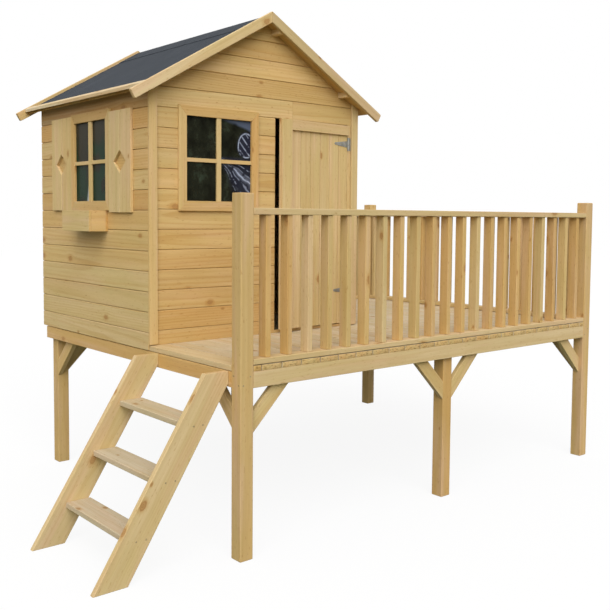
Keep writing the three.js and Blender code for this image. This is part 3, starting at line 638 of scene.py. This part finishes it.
class Piece:
    """A visible piece made of boards, standing for nodes of the model."""

    def __init__(self, name, nodes, slot="timber", material=TRIM_PINE, body=HOUSE,
                 placing=None):
        self.name, self.traits = name, (material, slot, body, nodes, placing)
        self.draw = random.Random(name)
        self.all = bmesh.new()
        self.layers(self.all)

    @staticmethod
    def layers(body):
        vectors, colours = body.loops.layers.float_vector, body.loops.layers.float_color
        return [kind.get(name) or kind.new(name) for kind, name in
                ((vectors, "wood"), (vectors, "grain"), (colours, "board"))]

    def board(self, body, along=None, tones=(0.2, 0.7), shades=(0.95, 1.04), knots=1.0,
              ease=1.5 * MM, heart=None, settle=0.0):
        """Adds one board: eases its edges, settles it a little and lays its grain."""
        along = (along or longest_edge(body)).normalized()
        draw = self.draw
        if ease:
            sharp = [edge for edge in body.edges if len(edge.link_faces) == 2
                     and edge.calc_face_angle(0) > EASED_ANGLE]
            bmesh.ops.bevel(body, geom=sharp, offset=ease, offset_type="OFFSET", segments=2,
                            profile=0.5, affect="EDGES", clamp_overlap=True)
        body.normal_update()
        first, second = square_to(along)
        widths = [extent(body, axis) for axis in (first, second)]
        spans = [end - start for start, end in widths]
        across, through = (first, second) if spans[0] > spans[1] else (second, first)
        width, thickness = max(spans), min(spans)
        middle = sum((axis * (sum(extent(body, axis)) / 2) for axis in (along, across, through)),
                     Vector())
        if settle:
            bmesh.ops.translate(body, verts=body.verts,
                                vec=through * draw.uniform(-settle, settle))
        heart = heart or draw.choices(("flat", "quarter"), (0.75, 0.25))[0]
        if heart == "flat":
            pith = (draw.uniform(-0.7, 0.7) * width,
                    draw.choice((-1, 1)) * (thickness / 2 + draw.uniform(12, 95) * MM))
        elif heart == "quarter":
            pith = (draw.choice((-1, 1)) * (width / 2 + draw.uniform(8, 60) * MM),
                    draw.uniform(-0.5, 0.5) * width)
        else:
            pith = (draw.uniform(-0.45, 0.45) * width, draw.uniform(-0.45, 0.45) * thickness)
        lean = (draw.uniform(-0.016, 0.016), draw.uniform(-0.016, 0.016))
        start = draw.uniform(0, 60)
        sides = [draw.uniform(0, 30) for _ in range(3)]
        kind = (draw.uniform(*tones), draw.uniform(*shades), draw.uniform(0.7, 1.35), knots)
        wood, grain, board = self.layers(body)
        for face in body.faces:
            normal = face.normal
            is_end = abs(normal.dot(along)) > 0.75
            is_wide = abs(normal.dot(through)) >= abs(normal.dot(across))
            for loop in face.loops:
                place = loop.vert.co - middle
                u, v, w = place.dot(along), place.dot(across), place.dot(through)
                loop[wood] = (u + start, v + lean[0] * u - pith[0], w + lean[1] * u - pith[1])
                if is_end:
                    loop[grain] = (v + sides[0], w + sides[0], 1)
                elif is_wide:
                    loop[grain] = (u + start, v + sides[1], 0)
                else:
                    loop[grain] = (u + start, w + sides[2], 0)
                loop[board] = kind
        carrier = mesh_of("carrier", body)
        self.all.from_mesh(carrier)
        bpy.data.meshes.remove(carrier)

    def done(self):
        show(self.name, self.all, *self.traits)


def timber(node, material=TRIM_PINE, slot="timber", solid=None, **look):
    """One board that stands for one node, with the node's own shape or a solid's."""
    piece = Piece(node + "_timber", [node], slot, material)
    piece.board(solid or cad_solid(node), **look)
    piece.done()


# Stand
POSTS = ("post_front_left", "post_front_right", "post_back_right",
         "leg_front_middle", "leg_back_middle", "leg_back_left")
for post in POSTS:
    tones = (0.56, 0.66) if post == "leg_front_middle" else (0.28, 0.46)
    timber(post, POST_PINE, "post_timber", along=Z, tones=tones, heart="boxed",
           shades=(0.94, 1.0), ease=4 * MM, knots=0.9)
timber("beam_front", tones=(0.02, 0.1), ease=2.5 * MM)
left_beam = sliced(cad_solid("beam_left"), Z, end=high("beam_left").z - BEAM_GAP)
timber("beam_left", solid=left_beam, tones=(0.52, 0.62), ease=3 * MM)
for beam in ("beam_right", "beam_back"):
    timber(beam, tones=(0.2, 0.5), ease=2 * MM)
timber("joist_middle", ROUGH_PINE, tones=(0.3, 0.6), ease=2 * MM)
for brace in [node for node in frame["nodes"] if node.startswith("brace_")]:
    timber(brace, tones=(0.05, 0.35), ease=2 * MM)

# Deck
DECK_TOP = high("deck_boards").z
PLATFORM_LEFT, PLATFORM_RIGHT = box_extent("deck_boards", X)
DECK_COUNT = ceil((PLATFORM_RIGHT - PLATFORM_LEFT) / DECK_PITCH)


def add_deck():
    piece = Piece("deck_planks", ["deck_boards"], "deck_timber", DECK_PINE)
    whole = cad_solid("deck_boards")
    for i in range(DECK_COUNT):
        start = PLATFORM_LEFT + i * DECK_PITCH + DECK_SLOT / 2
        end = PLATFORM_LEFT + (i + 1) * DECK_PITCH - DECK_SLOT / 2
        part = sliced(whole, X, start if i else None, end if i < DECK_COUNT - 1 else None)
        tones, shades = ((0.95, 1.0), (0.93, 1.0)) if i else ((0.0, 0.08), (0.89, 0.94))
        piece.board(part, Y, tones=tones, shades=shades, knots=0.8, ease=2 * MM)
    piece.done()


add_deck()


# Railings
def add_railing(side, run, slat_tones):
    """The slats with the rail at their foot, which are one node, and the top rail."""
    node = "railing_%s_slats" % side
    whole = cad_solid(node)
    rail_top = low(node).z + RAIL_HEIGHT
    piece = Piece(node + "_and_rail", [node])
    bottom = low(node).z + RAIL_LIFT
    piece.board(sliced(whole, Z, bottom, rail_top - SEAT), run, tones=(0.05, 0.2), ease=3 * MM)
    slats = islands(sliced(whole, Z, start=rail_top + SEAT / 2))
    for slat in sorted(slats, key=lambda body: extent(body, run)[0]):
        piece.board(slat, Z, tones=slat_tones, shades=(0.94, 1.05), knots=1.5, ease=2.5 * MM)
    piece.done()
    timber("railing_%s_top_rail" % side, along=run, tones=(0.0, 0.12), shades=(0.93, 0.97),
           ease=2.5 * MM)


add_railing("front", X, (0.05, 0.66))
add_railing("back", X, (0.1, 0.6))
add_railing("right", Y, (0.1, 0.6))

# Ladder
TREADS = ("ladder_tread_1", "ladder_tread_2", "ladder_tread_3")
for end, tones in (("near", (0.03, 0.08)), ("far", (0.05, 0.12))):
    timber("ladder_stringer_" + end, tones=tones, ease=2.5 * MM, knots=2.0)
for tread in TREADS:
    trimmed = sliced(cad_solid(tread), X, end=high(tread).x - TREAD_TRIM)
    timber(tread, DECK_PINE, solid=trimmed, along=Y, tones=(0.97, 1.0), shades=(0.86, 0.92),
           ease=3 * MM)


# Cabin walls
def add_wall(side, outward, along, first, butt=None, courses=(), shades=(0.93, 1.05),
             upper=(99, ())):
    """A clad wall: level boards with tongues in their joints, and battens inside.

    Courses give the tones of its boards from the bottom up, as seen in the photograph.
    Upper gives the first of its highest courses, and the shades from there on: painted light on
    the front gable, painted shade under the left eave."""
    node = "wall_" + side
    whole = cad_solid(node)
    inside = extent(whole, outward)[1] - CLADDING
    boards = sliced(whole, outward, start=inside + SEAT)
    battens = sliced(whole, outward, end=inside - SEAT / 2)
    joints = [DECK_TOP + first]
    while joints[-1] + CLADDING_PITCH < high(node).z - TOP_COURSE:
        joints.append(joints[-1] + CLADDING_PITCH)
    edges = [None] + joints + [None]
    piece = Piece(node + "_boards", [node], "cladding_timber", CLADDING_PINE)
    for number, (under, over) in enumerate(zip(edges, edges[1:])):
        seen_tone = courses[number] if number < len(courses) else None
        tones = (seen_tone - 0.05, seen_tone + 0.05) if seen_tone else (0.14, 0.78)
        board_shades = upper[1] if number >= upper[0] else shades
        start = under + CLADDING_GAP / 2 if under else None
        end = over - CLADDING_GAP / 2 if over else None
        parts = islands(sliced(boards, Z, start, end))
        if butt and under and over and under < butt[1] < over:
            parts = [half for part in parts for half in
                     (sliced(part, along, end=butt[0] - SEAT),
                      sliced(part, along, start=butt[0] + SEAT))]
        for part in parts:
            if part.verts:
                piece.board(part, along, tones=tones, shades=board_shades,
                            ease=0.8 * MM, settle=0.4 * MM, knots=0.9)
    middle = inside + CLADDING / 2 - TONGUE_SET
    for joint in joints:
        strip = sliced(boards, Z, joint - TONGUE / 2, joint + TONGUE / 2)
        strip = sliced(strip, outward, middle - TONGUE / 2, middle + TONGUE / 2)
        for part in islands(strip):
            # The tongues are darker: painted shade in the joints between the boards.
            piece.board(part, along, tones=(0.4, 0.6), shades=(0.8, 0.85), ease=0)
    for batten in islands(battens):
        piece.board(batten, Z, tones=(0.3, 0.7))
    piece.done()


BUTT_JOINT = (PLATFORM_LEFT + 958 * MM, DECK_TOP + 1300 * MM)
FRONT_COURSES = (0.45, 0.55, 0.5, 0.45, 0.52, 0.4, 0.35, 0.4, 0.45, 0.35, 0.4, 0.35, 0.3,
                 0.5, 0.48, 0.52, 0.4, 0.35)
# The left wall runs paler at the bottom and browner at the top: partly the boards' own tones,
# partly painted shade under the eave.
LEFT_COURSES = (0.15, 0.12, 0.2, 0.18, 0.28, 0.33, 0.4, 0.6, 0.3, 0.48, 0.35, 0.65, 0.78, 0.8)
# The gable's highest courses are brighter: painted light that lifts the shade under the roof's
# overhang.
add_wall("front", -Y, X, FRONT_FIRST_JOINT, BUTT_JOINT, FRONT_COURSES, upper=(14, (1.08, 1.15)))
add_wall("back", Y, X, FRONT_FIRST_JOINT)
# Its highest courses are darker: painted shade under the eave, with the top boards' own darker
# tone.
add_wall("left", -X, Y, SIDE_FIRST_JOINT, courses=LEFT_COURSES, shades=(0.99, 1.06),
         upper=(12, (0.72, 0.78)))
add_wall("right", X, Y, SIDE_FIRST_JOINT)
timber("corner_trim_left", along=Z, tones=(0.25, 0.35), knots=0.2)
timber("corner_trim_right", along=Z, tones=(0.02, 0.12), knots=0.3)


# Windows
def add_window(side, run, outward, trim_side, upright, off_centre, top_shades):
    """Four mitred trim boards and the glazing bars, then the pane behind them."""
    node = "window_%s_frame" % side
    (left, right), (bottom, top) = box_extent(node, run), box_extent(node, Z)
    back, front = box_extent(node, outward)

    def board_of(corners, depth, along, tones, shades=(0.95, 1.04)):
        points = [run * across + Z * up + outward * back for across, up in corners]
        piece.board(extruded(points, outward * depth), along, tones, shades, knots=0.8)

    piece = Piece(node + "_trim", [node])
    inner_left, inner_right = left + trim_side, right - trim_side
    inner_bottom, inner_top = bottom + TRIM_RAIL, top - TRIM_RAIL
    outer = ((left, bottom), (left, top), (right, bottom), (right, top))
    inner = ((inner_left, inner_bottom), (inner_left, inner_top),
             (inner_right, inner_bottom), (inner_right, inner_top))
    # The top board takes shades of its own; on the side window they are painted shade under the
    # eave.
    for one, other, along, tones, *shades in (
            (0, 1, Z, (0.15, 0.35)), (2, 3, Z, (0.5, 0.65)), (0, 2, run, (0.35, 0.6)),
            (1, 3, run, (0.5, 0.65), top_shades)):
        board_of((outer[one], outer[other], inner[other], inner[one]), front - back, along,
                 tones, *shades)
    centre = (left + right) / 2 + off_centre
    crossing = inner_bottom + CROSS_BAR_RISE
    half, bar = upright / 2, CROSS_BAR / 2
    board_of(oblong(centre - half, inner_bottom, centre + half, inner_top),
             BAR_DEPTH - SEAT, Z, (0.1, 0.3))
    for start, end in ((inner_left, centre - half), (centre + half, inner_right)):
        board_of(oblong(start, crossing - bar, end, crossing + bar), BAR_DEPTH - SEAT, run,
                 (0.2, 0.4))
    piece.done()
    add_pane(side, run, outward)


PANE_STEPS = (46, 44)  # small faces up and across
PANE_CREASE = radians(40)


def add_pane(side, run, outward):
    """A thin sheet whose outer face is a little wavy."""
    node = "window_%s_pane" % side
    (left, right), (bottom, top) = box_extent(node, run), box_extent(node, Z)
    back, front = box_extent(node, outward)
    rows, columns = PANE_STEPS

    def place(i, j, is_outer):
        across = left + (right - left) * j / columns
        up = bottom + (top - bottom) * i / rows
        wave = noise.noise(Vector((across * 9, up * 6, len(side))))
        depth = front - PANE_SET + PANE_WAVE * wave if is_outer else back
        return run * across + Z * up + outward * depth

    body = bmesh.new()
    add_sheet(body, rows, columns, place)
    film = faced(body).loops.layers.float_vector.new("film")
    for face in body.faces:
        for loop in face.loops:
            point = loop.vert.co
            loop[film] = ((point.dot(run) - left) / (right - left),
                          (point.z - bottom) / (top - bottom), 1 if side == "side" else 0)
    show(node + "_sheet", body, PANE, "clear_pane", HOUSE, [node], crease=PANE_CREASE)


add_window("front", X, -Y, FRONT_TRIM_SIDE, FRONT_UPRIGHT, -6 * MM, (0.95, 1.04))
# Its top trim board is darker: painted shade under the eave.
add_window("side", Y, -X, SIDE_TRIM_SIDE, SIDE_UPRIGHT, 0, (0.8, 0.85))


# Shutters
def add_shutter(node):
    """Two boards with a diamond cut through both, and the strip behind their joint."""
    whole = cad_solid(node)
    middle = sum(box_extent(node, Y)) / 2
    piece = Piece(node + "_boards", [node])
    half = SHUTTER_GROOVE / 2
    for part in (sliced(whole, Y, end=middle - half), sliced(whole, Y, start=middle + half)):
        piece.board(part, Z, tones=(0.08, 0.28), shades=(1.01, 1.09), ease=2 * MM, knots=0.7)
    # The strip is darker: painted shade in the groove between the boards.
    strip = sliced(whole, Y, middle - half - SEAT, middle + half + SEAT)
    strip = sliced(strip, X, low(node).x + SHUTTER_STRIP, high(node).x - STRIP_BACK)
    for part in islands(strip):
        piece.board(part, Z, tones=(0.12, 0.36), shades=(0.85, 0.9), ease=0)
    piece.done()


add_shutter("shutter_near")
add_shutter("shutter_far")


# Planter
def add_planter():
    (x0, y0, z0), (x1, y1, z1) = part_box("planter_box")
    wall, air = PLANTER_WALL, SEAT / 2
    piece = Piece("planter_boards", ["planter_box"])
    piece.board(plank((x0, y0, z0), (x0 + wall, y1, z1)), Y, tones=(0.15, 0.3))
    piece.board(plank((x1 - wall, y0, z0), (x1, y1, z1)), Y, tones=(0.2, 0.5))
    for start, end in ((y0, y0 + wall), (y1 - wall, y1)):
        piece.board(plank((x0 + wall + air, start, z0), (x1 - wall - air, end, z1)),
                    X, tones=(0.28, 0.42))
    piece.board(plank((x0 + wall + air, y0 + wall + air, z0),
                      (x1 - wall - air, y1 - wall - air, z0 + wall)), Y, tones=(0.3, 0.6))
    piece.done()


add_planter()

# Door, built square to the house and then turned to where it stands ajar
JOINT = frame["joints"][0]
HINGE = Vector(JOINT["pos_m"])
AJAR = -radians(JOINT["range_deg"][0])
TO_HINGE = Matrix.Translation(Vector((HINGE.x, HINGE.y, 0)))
DOOR_PLACING = TO_HINGE @ Matrix.Rotation(AJAR, 4, "Z")
timber("door_jamb", along=Z, tones=(0.15, 0.3))


def door_corners():
    """The leaf's lowest and highest corners, measured square from the hinge axis."""
    turned = DOOR_PLACING.inverted()
    places = [turned @ vert.co for vert in frame["nodes"]["door_leaf"].data.vertices]
    return [[pick(values) for values in zip(*places)] for pick in (min, max)]


def add_door():
    (x0, y0, z0), (x1, y1, z1) = door_corners()
    face = y0 + DOOR_FRAME
    back = face + DOOR_BOARD
    piece = Piece("door_leaf_boards", ["door_leaf"], body=DOOR, placing=DOOR_PLACING)
    piece.board(plank((x0, y0, z0), (x0 + DOOR_STILE, face - SEAT, z1)), Z,
                tones=(0.12, 0.2), knots=0.6)
    piece.board(plank((x0 + DOOR_STILE + SEAT, y0, z1 - DOOR_RAIL), (x1, face - SEAT, z1)),
                X, tones=(0.12, 0.25), knots=0.5)
    edges = [x0 + i * DOOR_PITCH for i in range(ceil((x1 - x0) / DOOR_PITCH))]
    edges = edges[:-1] + [x1] if x1 - edges[-1] < DOOR_PITCH / 3 else edges + [x1]
    half = DOOR_GROOVE / 2
    for start, end in zip(edges, edges[1:]):
        one = start + (half if start > x0 else 0)
        other = end - (half if end < x1 else 0)
        piece.board(plank((one, face, z0), (other, back, z1)), Z, tones=(0.04, 0.22),
                    shades=(0.97, 1.03), ease=1.2 * MM, knots=1.2)
        # The strips behind the grooves are darker: painted shade in the grooves.
        if end < x1:
            piece.board(plank((other - SEAT, face + DOOR_STRIP, z0 + STRIP_END),
                              (end + half + SEAT, back - STRIP_BACK, z1 - STRIP_END)),
                        Z, tones=(0.2, 0.4), shades=(0.8, 0.85), ease=0)
    step = (z1 - z0 - LEDGE_HEIGHT - 2 * LEDGE_INSET) / 2
    for i in range(3):
        bottom = z0 + LEDGE_INSET + i * step
        piece.board(plank((x0 + LEDGE_INSET, back + SEAT / 2, bottom),
                          (x1 - LEDGE_INSET, y1, bottom + LEDGE_HEIGHT)),
                    X, tones=(0.3, 0.7), ease=2 * MM)
    piece.done()


add_door()

# Hinges keep the model's own shape
for place in ("upper", "lower"):
    for node in ("hinge_plate_" + place, "hinge_strap_" + place):
        skins = frame["nodes"][node].data.materials
        skins.clear()
        skins.append(ZINC)

# Roof
RIDGE_TOP = high("roof_panel_left").z
RIDGE_X = (low("roof_panel_left").x + high("roof_panel_right").x) / 2
ROOF_FRONT, ROOF_BACK = box_extent("roof_panel_left", Y)
ROOF_LENGTH = Y * (ROOF_BACK - ROOF_FRONT)
EAVE_REACH = RIDGE_X - low("roof_panel_left").x


def roof_height(reach, depth):
    """Height of the surface that lies a given depth below the boards' tops."""
    return RIDGE_TOP - reach * tan(ROOF_PITCH) - depth / cos(ROOF_PITCH)


def slope_outline(hand, near, far, top_depth, bottom_depth, y):
    """The upright section of a layer of the roof between two distances from the ridge."""
    return [Vector((RIDGE_X + hand * reach, y, roof_height(reach, depth)))
            for reach, depth in ((near, top_depth), (far, top_depth), (far, bottom_depth),
                                 (near, bottom_depth))]


def add_roof_panel(side, hand):
    node = "roof_panel_" + side
    piece = Piece(node + "_timbers", [node], "timber", ROUGH_PINE)
    down = Vector((hand * cos(ROOF_PITCH), 0, -sin(ROOF_PITCH)))
    pitch = (ROOF_BACK - ROOF_FRONT) / ROOF_BOARD_COUNT
    for i in range(ROOF_BOARD_COUNT):
        start = ROOF_FRONT + i * pitch + SEAT
        outline = slope_outline(hand, SEAT, EAVE_REACH - BOARD_INSET, 0, ROOF_BOARD, start)
        piece.board(extruded(outline, Y * (pitch - 2 * SEAT)), down, tones=(0.3, 0.75), ease=MM)
    for reach in PURLIN_REACHES:
        near, far = reach - PURLIN_WIDTH / 2, reach + PURLIN_WIDTH / 2
        top = ROOF_BOARD + SEAT
        outline = slope_outline(hand, near, far, top, top, ROOF_FRONT)
        outline[2].z = outline[3].z = roof_height(far, ROOF_BOARD) - PURLIN_HEIGHT
        piece.board(extruded(outline, ROOF_LENGTH), Y, tones=(0.0, 0.1),
                    shades=(1.1, 1.15), ease=2.5 * MM)
    outline = slope_outline(hand, EAVE_REACH - EAVE_STRIP, EAVE_REACH, -EAVE_STRIP_HEIGHT,
                            -SEAT / 2, ROOF_FRONT)
    piece.board(extruded(outline, ROOF_LENGTH), Y, tones=(0.9, 1.0),
                shades=(1.03, 1.08), ease=2 * MM)
    piece.done()


add_roof_panel("left", -1)
add_roof_panel("right", 1)

# Felt: a sheet over both slopes, and a strip on it along the ridge
FELT_STEP = 30 * MM
FELT_CREASE = radians(25)


def felt_layer(body, end, depth, seed):
    """A sheet that reaches from the ridge to end on both slopes, a little uneven above."""
    steps = round(end / FELT_STEP)
    length = ROOF_BACK - ROOF_FRONT - 2 * SEAT
    columns = round(length / FELT_STEP)

    def place(i, j, is_outer):
        reach = end * (i - steps) / steps
        y = ROOF_FRONT + SEAT + length * j / columns
        lift = noise.noise(Vector((reach * 5, y * 5, seed)))
        lift += 0.5 * noise.noise(Vector((reach * 1.5, y * 17, seed + 3)))
        rise = FELT - MM + FELT_WAVE * abs(lift) if is_outer else 0
        return RIDGE_X + reach, y, roof_height(abs(reach), -depth - rise)

    add_sheet(body, 2 * steps, columns, place)


def add_felt():
    body = bmesh.new()
    felt_layer(body, EAVE_REACH - EAVE_STRIP - SEAT, SEAT, 1.0)
    felt_layer(body, RIDGE_STRIP, SEAT + FELT, 9.0)
    show("roof_felt_sheets", faced(body), FELT_SKIN, "felt", HOUSE, ["roof_felt"],
         crease=FELT_CREASE)


add_felt()

# Bargeboards
timber("bargeboard_front_left", tones=(0.0, 0.1), shades=(1.0, 1.04), ease=4 * MM)
timber("bargeboard_front_right", tones=(0.0, 0.15), shades=(0.85, 0.89), ease=4 * MM)
back_boards = Piece("bargeboards_back_pair", ["bargeboards_back"])
both_backs = cad_solid("bargeboards_back")
for half_back in (sliced(both_backs, X, end=RIDGE_X - SEAT),
                  sliced(both_backs, X, start=RIDGE_X + SEAT)):
    back_boards.board(half_back, tones=(0.2, 0.5), ease=2.5 * MM)
back_boards.done()

# Screws
SCREW_RADIUS = 4.2 * MM
SMALL_SCREW_RADIUS = 3.4 * MM
# Share of the radius, height in mm, and whether a ring has the shape of the driver's cross
SCREW_RINGS = ((1.0, -0.5, False), (1.0, 0.3, False), (0.8, 0.8, False), (0.0, 1.0, True),
               (0.0, 0.1, True))
# Turn and share of the radius of the three points in each quarter of the cross
CROSS_TURNS = ((-0.3, 0.58), (0.3, 0.58), (pi / 4, 0.24))
SCREW_SIDES = 4 * len(CROSS_TURNS)
LADDER_SCREWS = (-34 * MM, 14 * MM)  # from a tread's middle
BEAM_SCREWS = (-21 * MM, 18 * MM)  # aside and up, from where post and beam cross
DECK_SCREW_FRONT, DECK_SCREW_BACK = 92 * MM, 14 * MM  # from the deck's edges
DECK_SCREW_ASIDE = 28 * MM  # from the middle of a joint between boards
DECK_SCREW_END = 12 * MM  # none comes nearer to the deck's right end
STRAP_SCREWS = ((-24, 9), (-24, -9), (-58, 0), (-96, 0))  # mm aside and up from the pin
PLATE_SCREWS = (-30, 0, 30)  # mm up
PLATE_SCREW_EDGE = 9 * MM
HINGE_SHEET_FACE = 3 * MM  # the straps' and plates' outer faces behind the pins' axis


def add_screws(name, places, outward, body=HOUSE, radius=SCREW_RADIUS, placing=None):
    """Screw heads with a cross pressed in, standing a little proud of a face."""
    first, second = square_to(outward)
    draw = random.Random(name)
    heads = bmesh.new()
    for place in places:
        spin = draw.uniform(0, pi / 2)
        rings = []
        for reach, rise, crossed in SCREW_RINGS:
            ring = []
            for i in range(SCREW_SIDES):
                quarter, corner = divmod(i, len(CROSS_TURNS))
                turn, share = CROSS_TURNS[corner]
                angle = spin + pi / 2 * quarter + turn
                way = first * cos(angle) + second * sin(angle)
                out = (share if crossed else reach) * radius
                ring.append(heads.verts.new(place + way * out + outward * rise * MM))
            rings.append(ring)
        for near, far in zip(rings, rings[1:]):
            band(heads, near, far, closed=True)
        heads.faces.new(rings[0])
        heads.faces.new(rings[-1])
    show(name, faced(heads), SCREW, "zinc", body, placing=placing)


def add_stand_screws():
    # A pair through each stringer into the end of each tread
    for node, outward in (("ladder_stringer_near", -Y), ("ladder_stringer_far", Y)):
        face = outward * box_extent(node, outward)[1]
        places = []
        for tread in TREADS:
            middle = (low(tread) + high(tread)) / 2
            places += [X * (middle.x + aside) + face + Z * middle.z for aside in LADDER_SCREWS]
        add_screws(node + "_screws", places, outward)

    # A pair through each outer face of the first three posts into the beams
    beam = sum(box_extent("beam_front", Z)) / 2
    for outwards, along, tag in (((-Y, -Y, Y), X, "face"), ((-X, X, X), Y, "side")):
        for node, outward in zip(POSTS, outwards):
            middle = sum(box_extent(node, along)) / 2
            face = outward * box_extent(node, outward)[1]
            places = [along * (middle + aside) + face + Z * (beam + aside)
                      for aside in BEAM_SCREWS]
            add_screws(node + "_%s_screws" % tag, places, outward)

    # Two through every deck board over each beam and the joist
    rows = [low("deck_boards").y + DECK_SCREW_FRONT, sum(box_extent("joist_middle", Y)) / 2,
            high("deck_boards").y - DECK_SCREW_BACK]
    places = []
    for i in range(DECK_COUNT):
        start = PLATFORM_LEFT + i * DECK_PITCH
        for x in (start + DECK_SCREW_ASIDE, start + DECK_PITCH - DECK_SCREW_ASIDE):
            if x < PLATFORM_RIGHT - DECK_SCREW_END:
                places += [Vector((x, y, DECK_TOP)) for y in rows]
    add_screws("deck_screws", places, Z, radius=SMALL_SCREW_RADIUS)


def add_hinge_screws():
    """Four through each strap into the door and three through each plate into the post."""
    for place in ("upper", "lower"):
        strap, plate = "hinge_strap_" + place, "hinge_plate_" + place
        middle = sum(box_extent(strap, Z)) / 2
        places = [Vector((x * MM, HINGE_SHEET_FACE, middle + z * MM)) for x, z in STRAP_SCREWS]
        add_screws(strap + "_screws", places, -Y, DOOR, SMALL_SCREW_RADIUS, DOOR_PLACING)
        places = [Vector((high(plate).x - PLATE_SCREW_EDGE, HINGE.y + HINGE_SHEET_FACE,
                          middle + z * MM)) for z in PLATE_SCREWS]
        add_screws(plate + "_screws", places, -Y, HOUSE, SMALL_SCREW_RADIUS)


add_stand_screws()
add_hinge_screws()

# Stage, light and background
SUN_FROM = Vector((-0.49, -0.65, 0.58))
SUN_STRENGTH = 3.1
SUN_SPREAD = radians(62)
SKY_LOW, SKY_HIGH = 0.3, 0.82  # strength at the horizon and overhead
FLOOR_BOUNCE = (0.10, 0.12, 0.05, 1)
FLOOR_SIDE = 60


def add_stage():
    """A floor that looks white, keeps a soft shadow and throws little light back up."""
    s = Shader(bpy.data.materials.new("pale floor"))
    glow = s.white("Emission", 1.0)
    shaded = s.node("BsdfDiffuse", {"Color": (0.86, 0.86, 0.86, 1)}).outputs[0]
    dull = s.node("BsdfDiffuse", {"Color": FLOOR_BOUNCE}).outputs[0]
    pale = s.node("MixShader", {0: 0.9, 1: shaded, 2: glow}).outputs[0]
    s.split("OutputMaterial", dull, pale)
    mesh = bpy.data.meshes.new("floor")
    half = FLOOR_SIDE / 2
    corners = [(x, y, 0) for x, y in oblong(-half, -half, half, half)]
    mesh.from_pydata(corners, [], [(0, 1, 2, 3)])
    mesh.materials.append(s.block)
    floor = placed("floor", mesh)


def add_light():
    sun = placed("sun", bpy.data.lights.new("sun", "SUN"))
    sun.data.energy, sun.data.angle = SUN_STRENGTH, SUN_SPREAD
    sun.rotation_mode = "QUATERNION"
    sun.rotation_quaternion = (-SUN_FROM).to_track_quat("-Z", "Y")
    s = Shader(bpy.data.worlds.new("sky"))
    height = s.parts(s.node("TexCoord").outputs["Generated"])[2]
    strength = s.span(height, 0.0, 1.0, SKY_LOW, SKY_HIGH)
    s.split("OutputWorld", s.white("Background", strength), s.white("Background", 1.0))
    scene.world = s.block


add_stage()
add_light()
scene.view_settings.view_transform = "Standard"
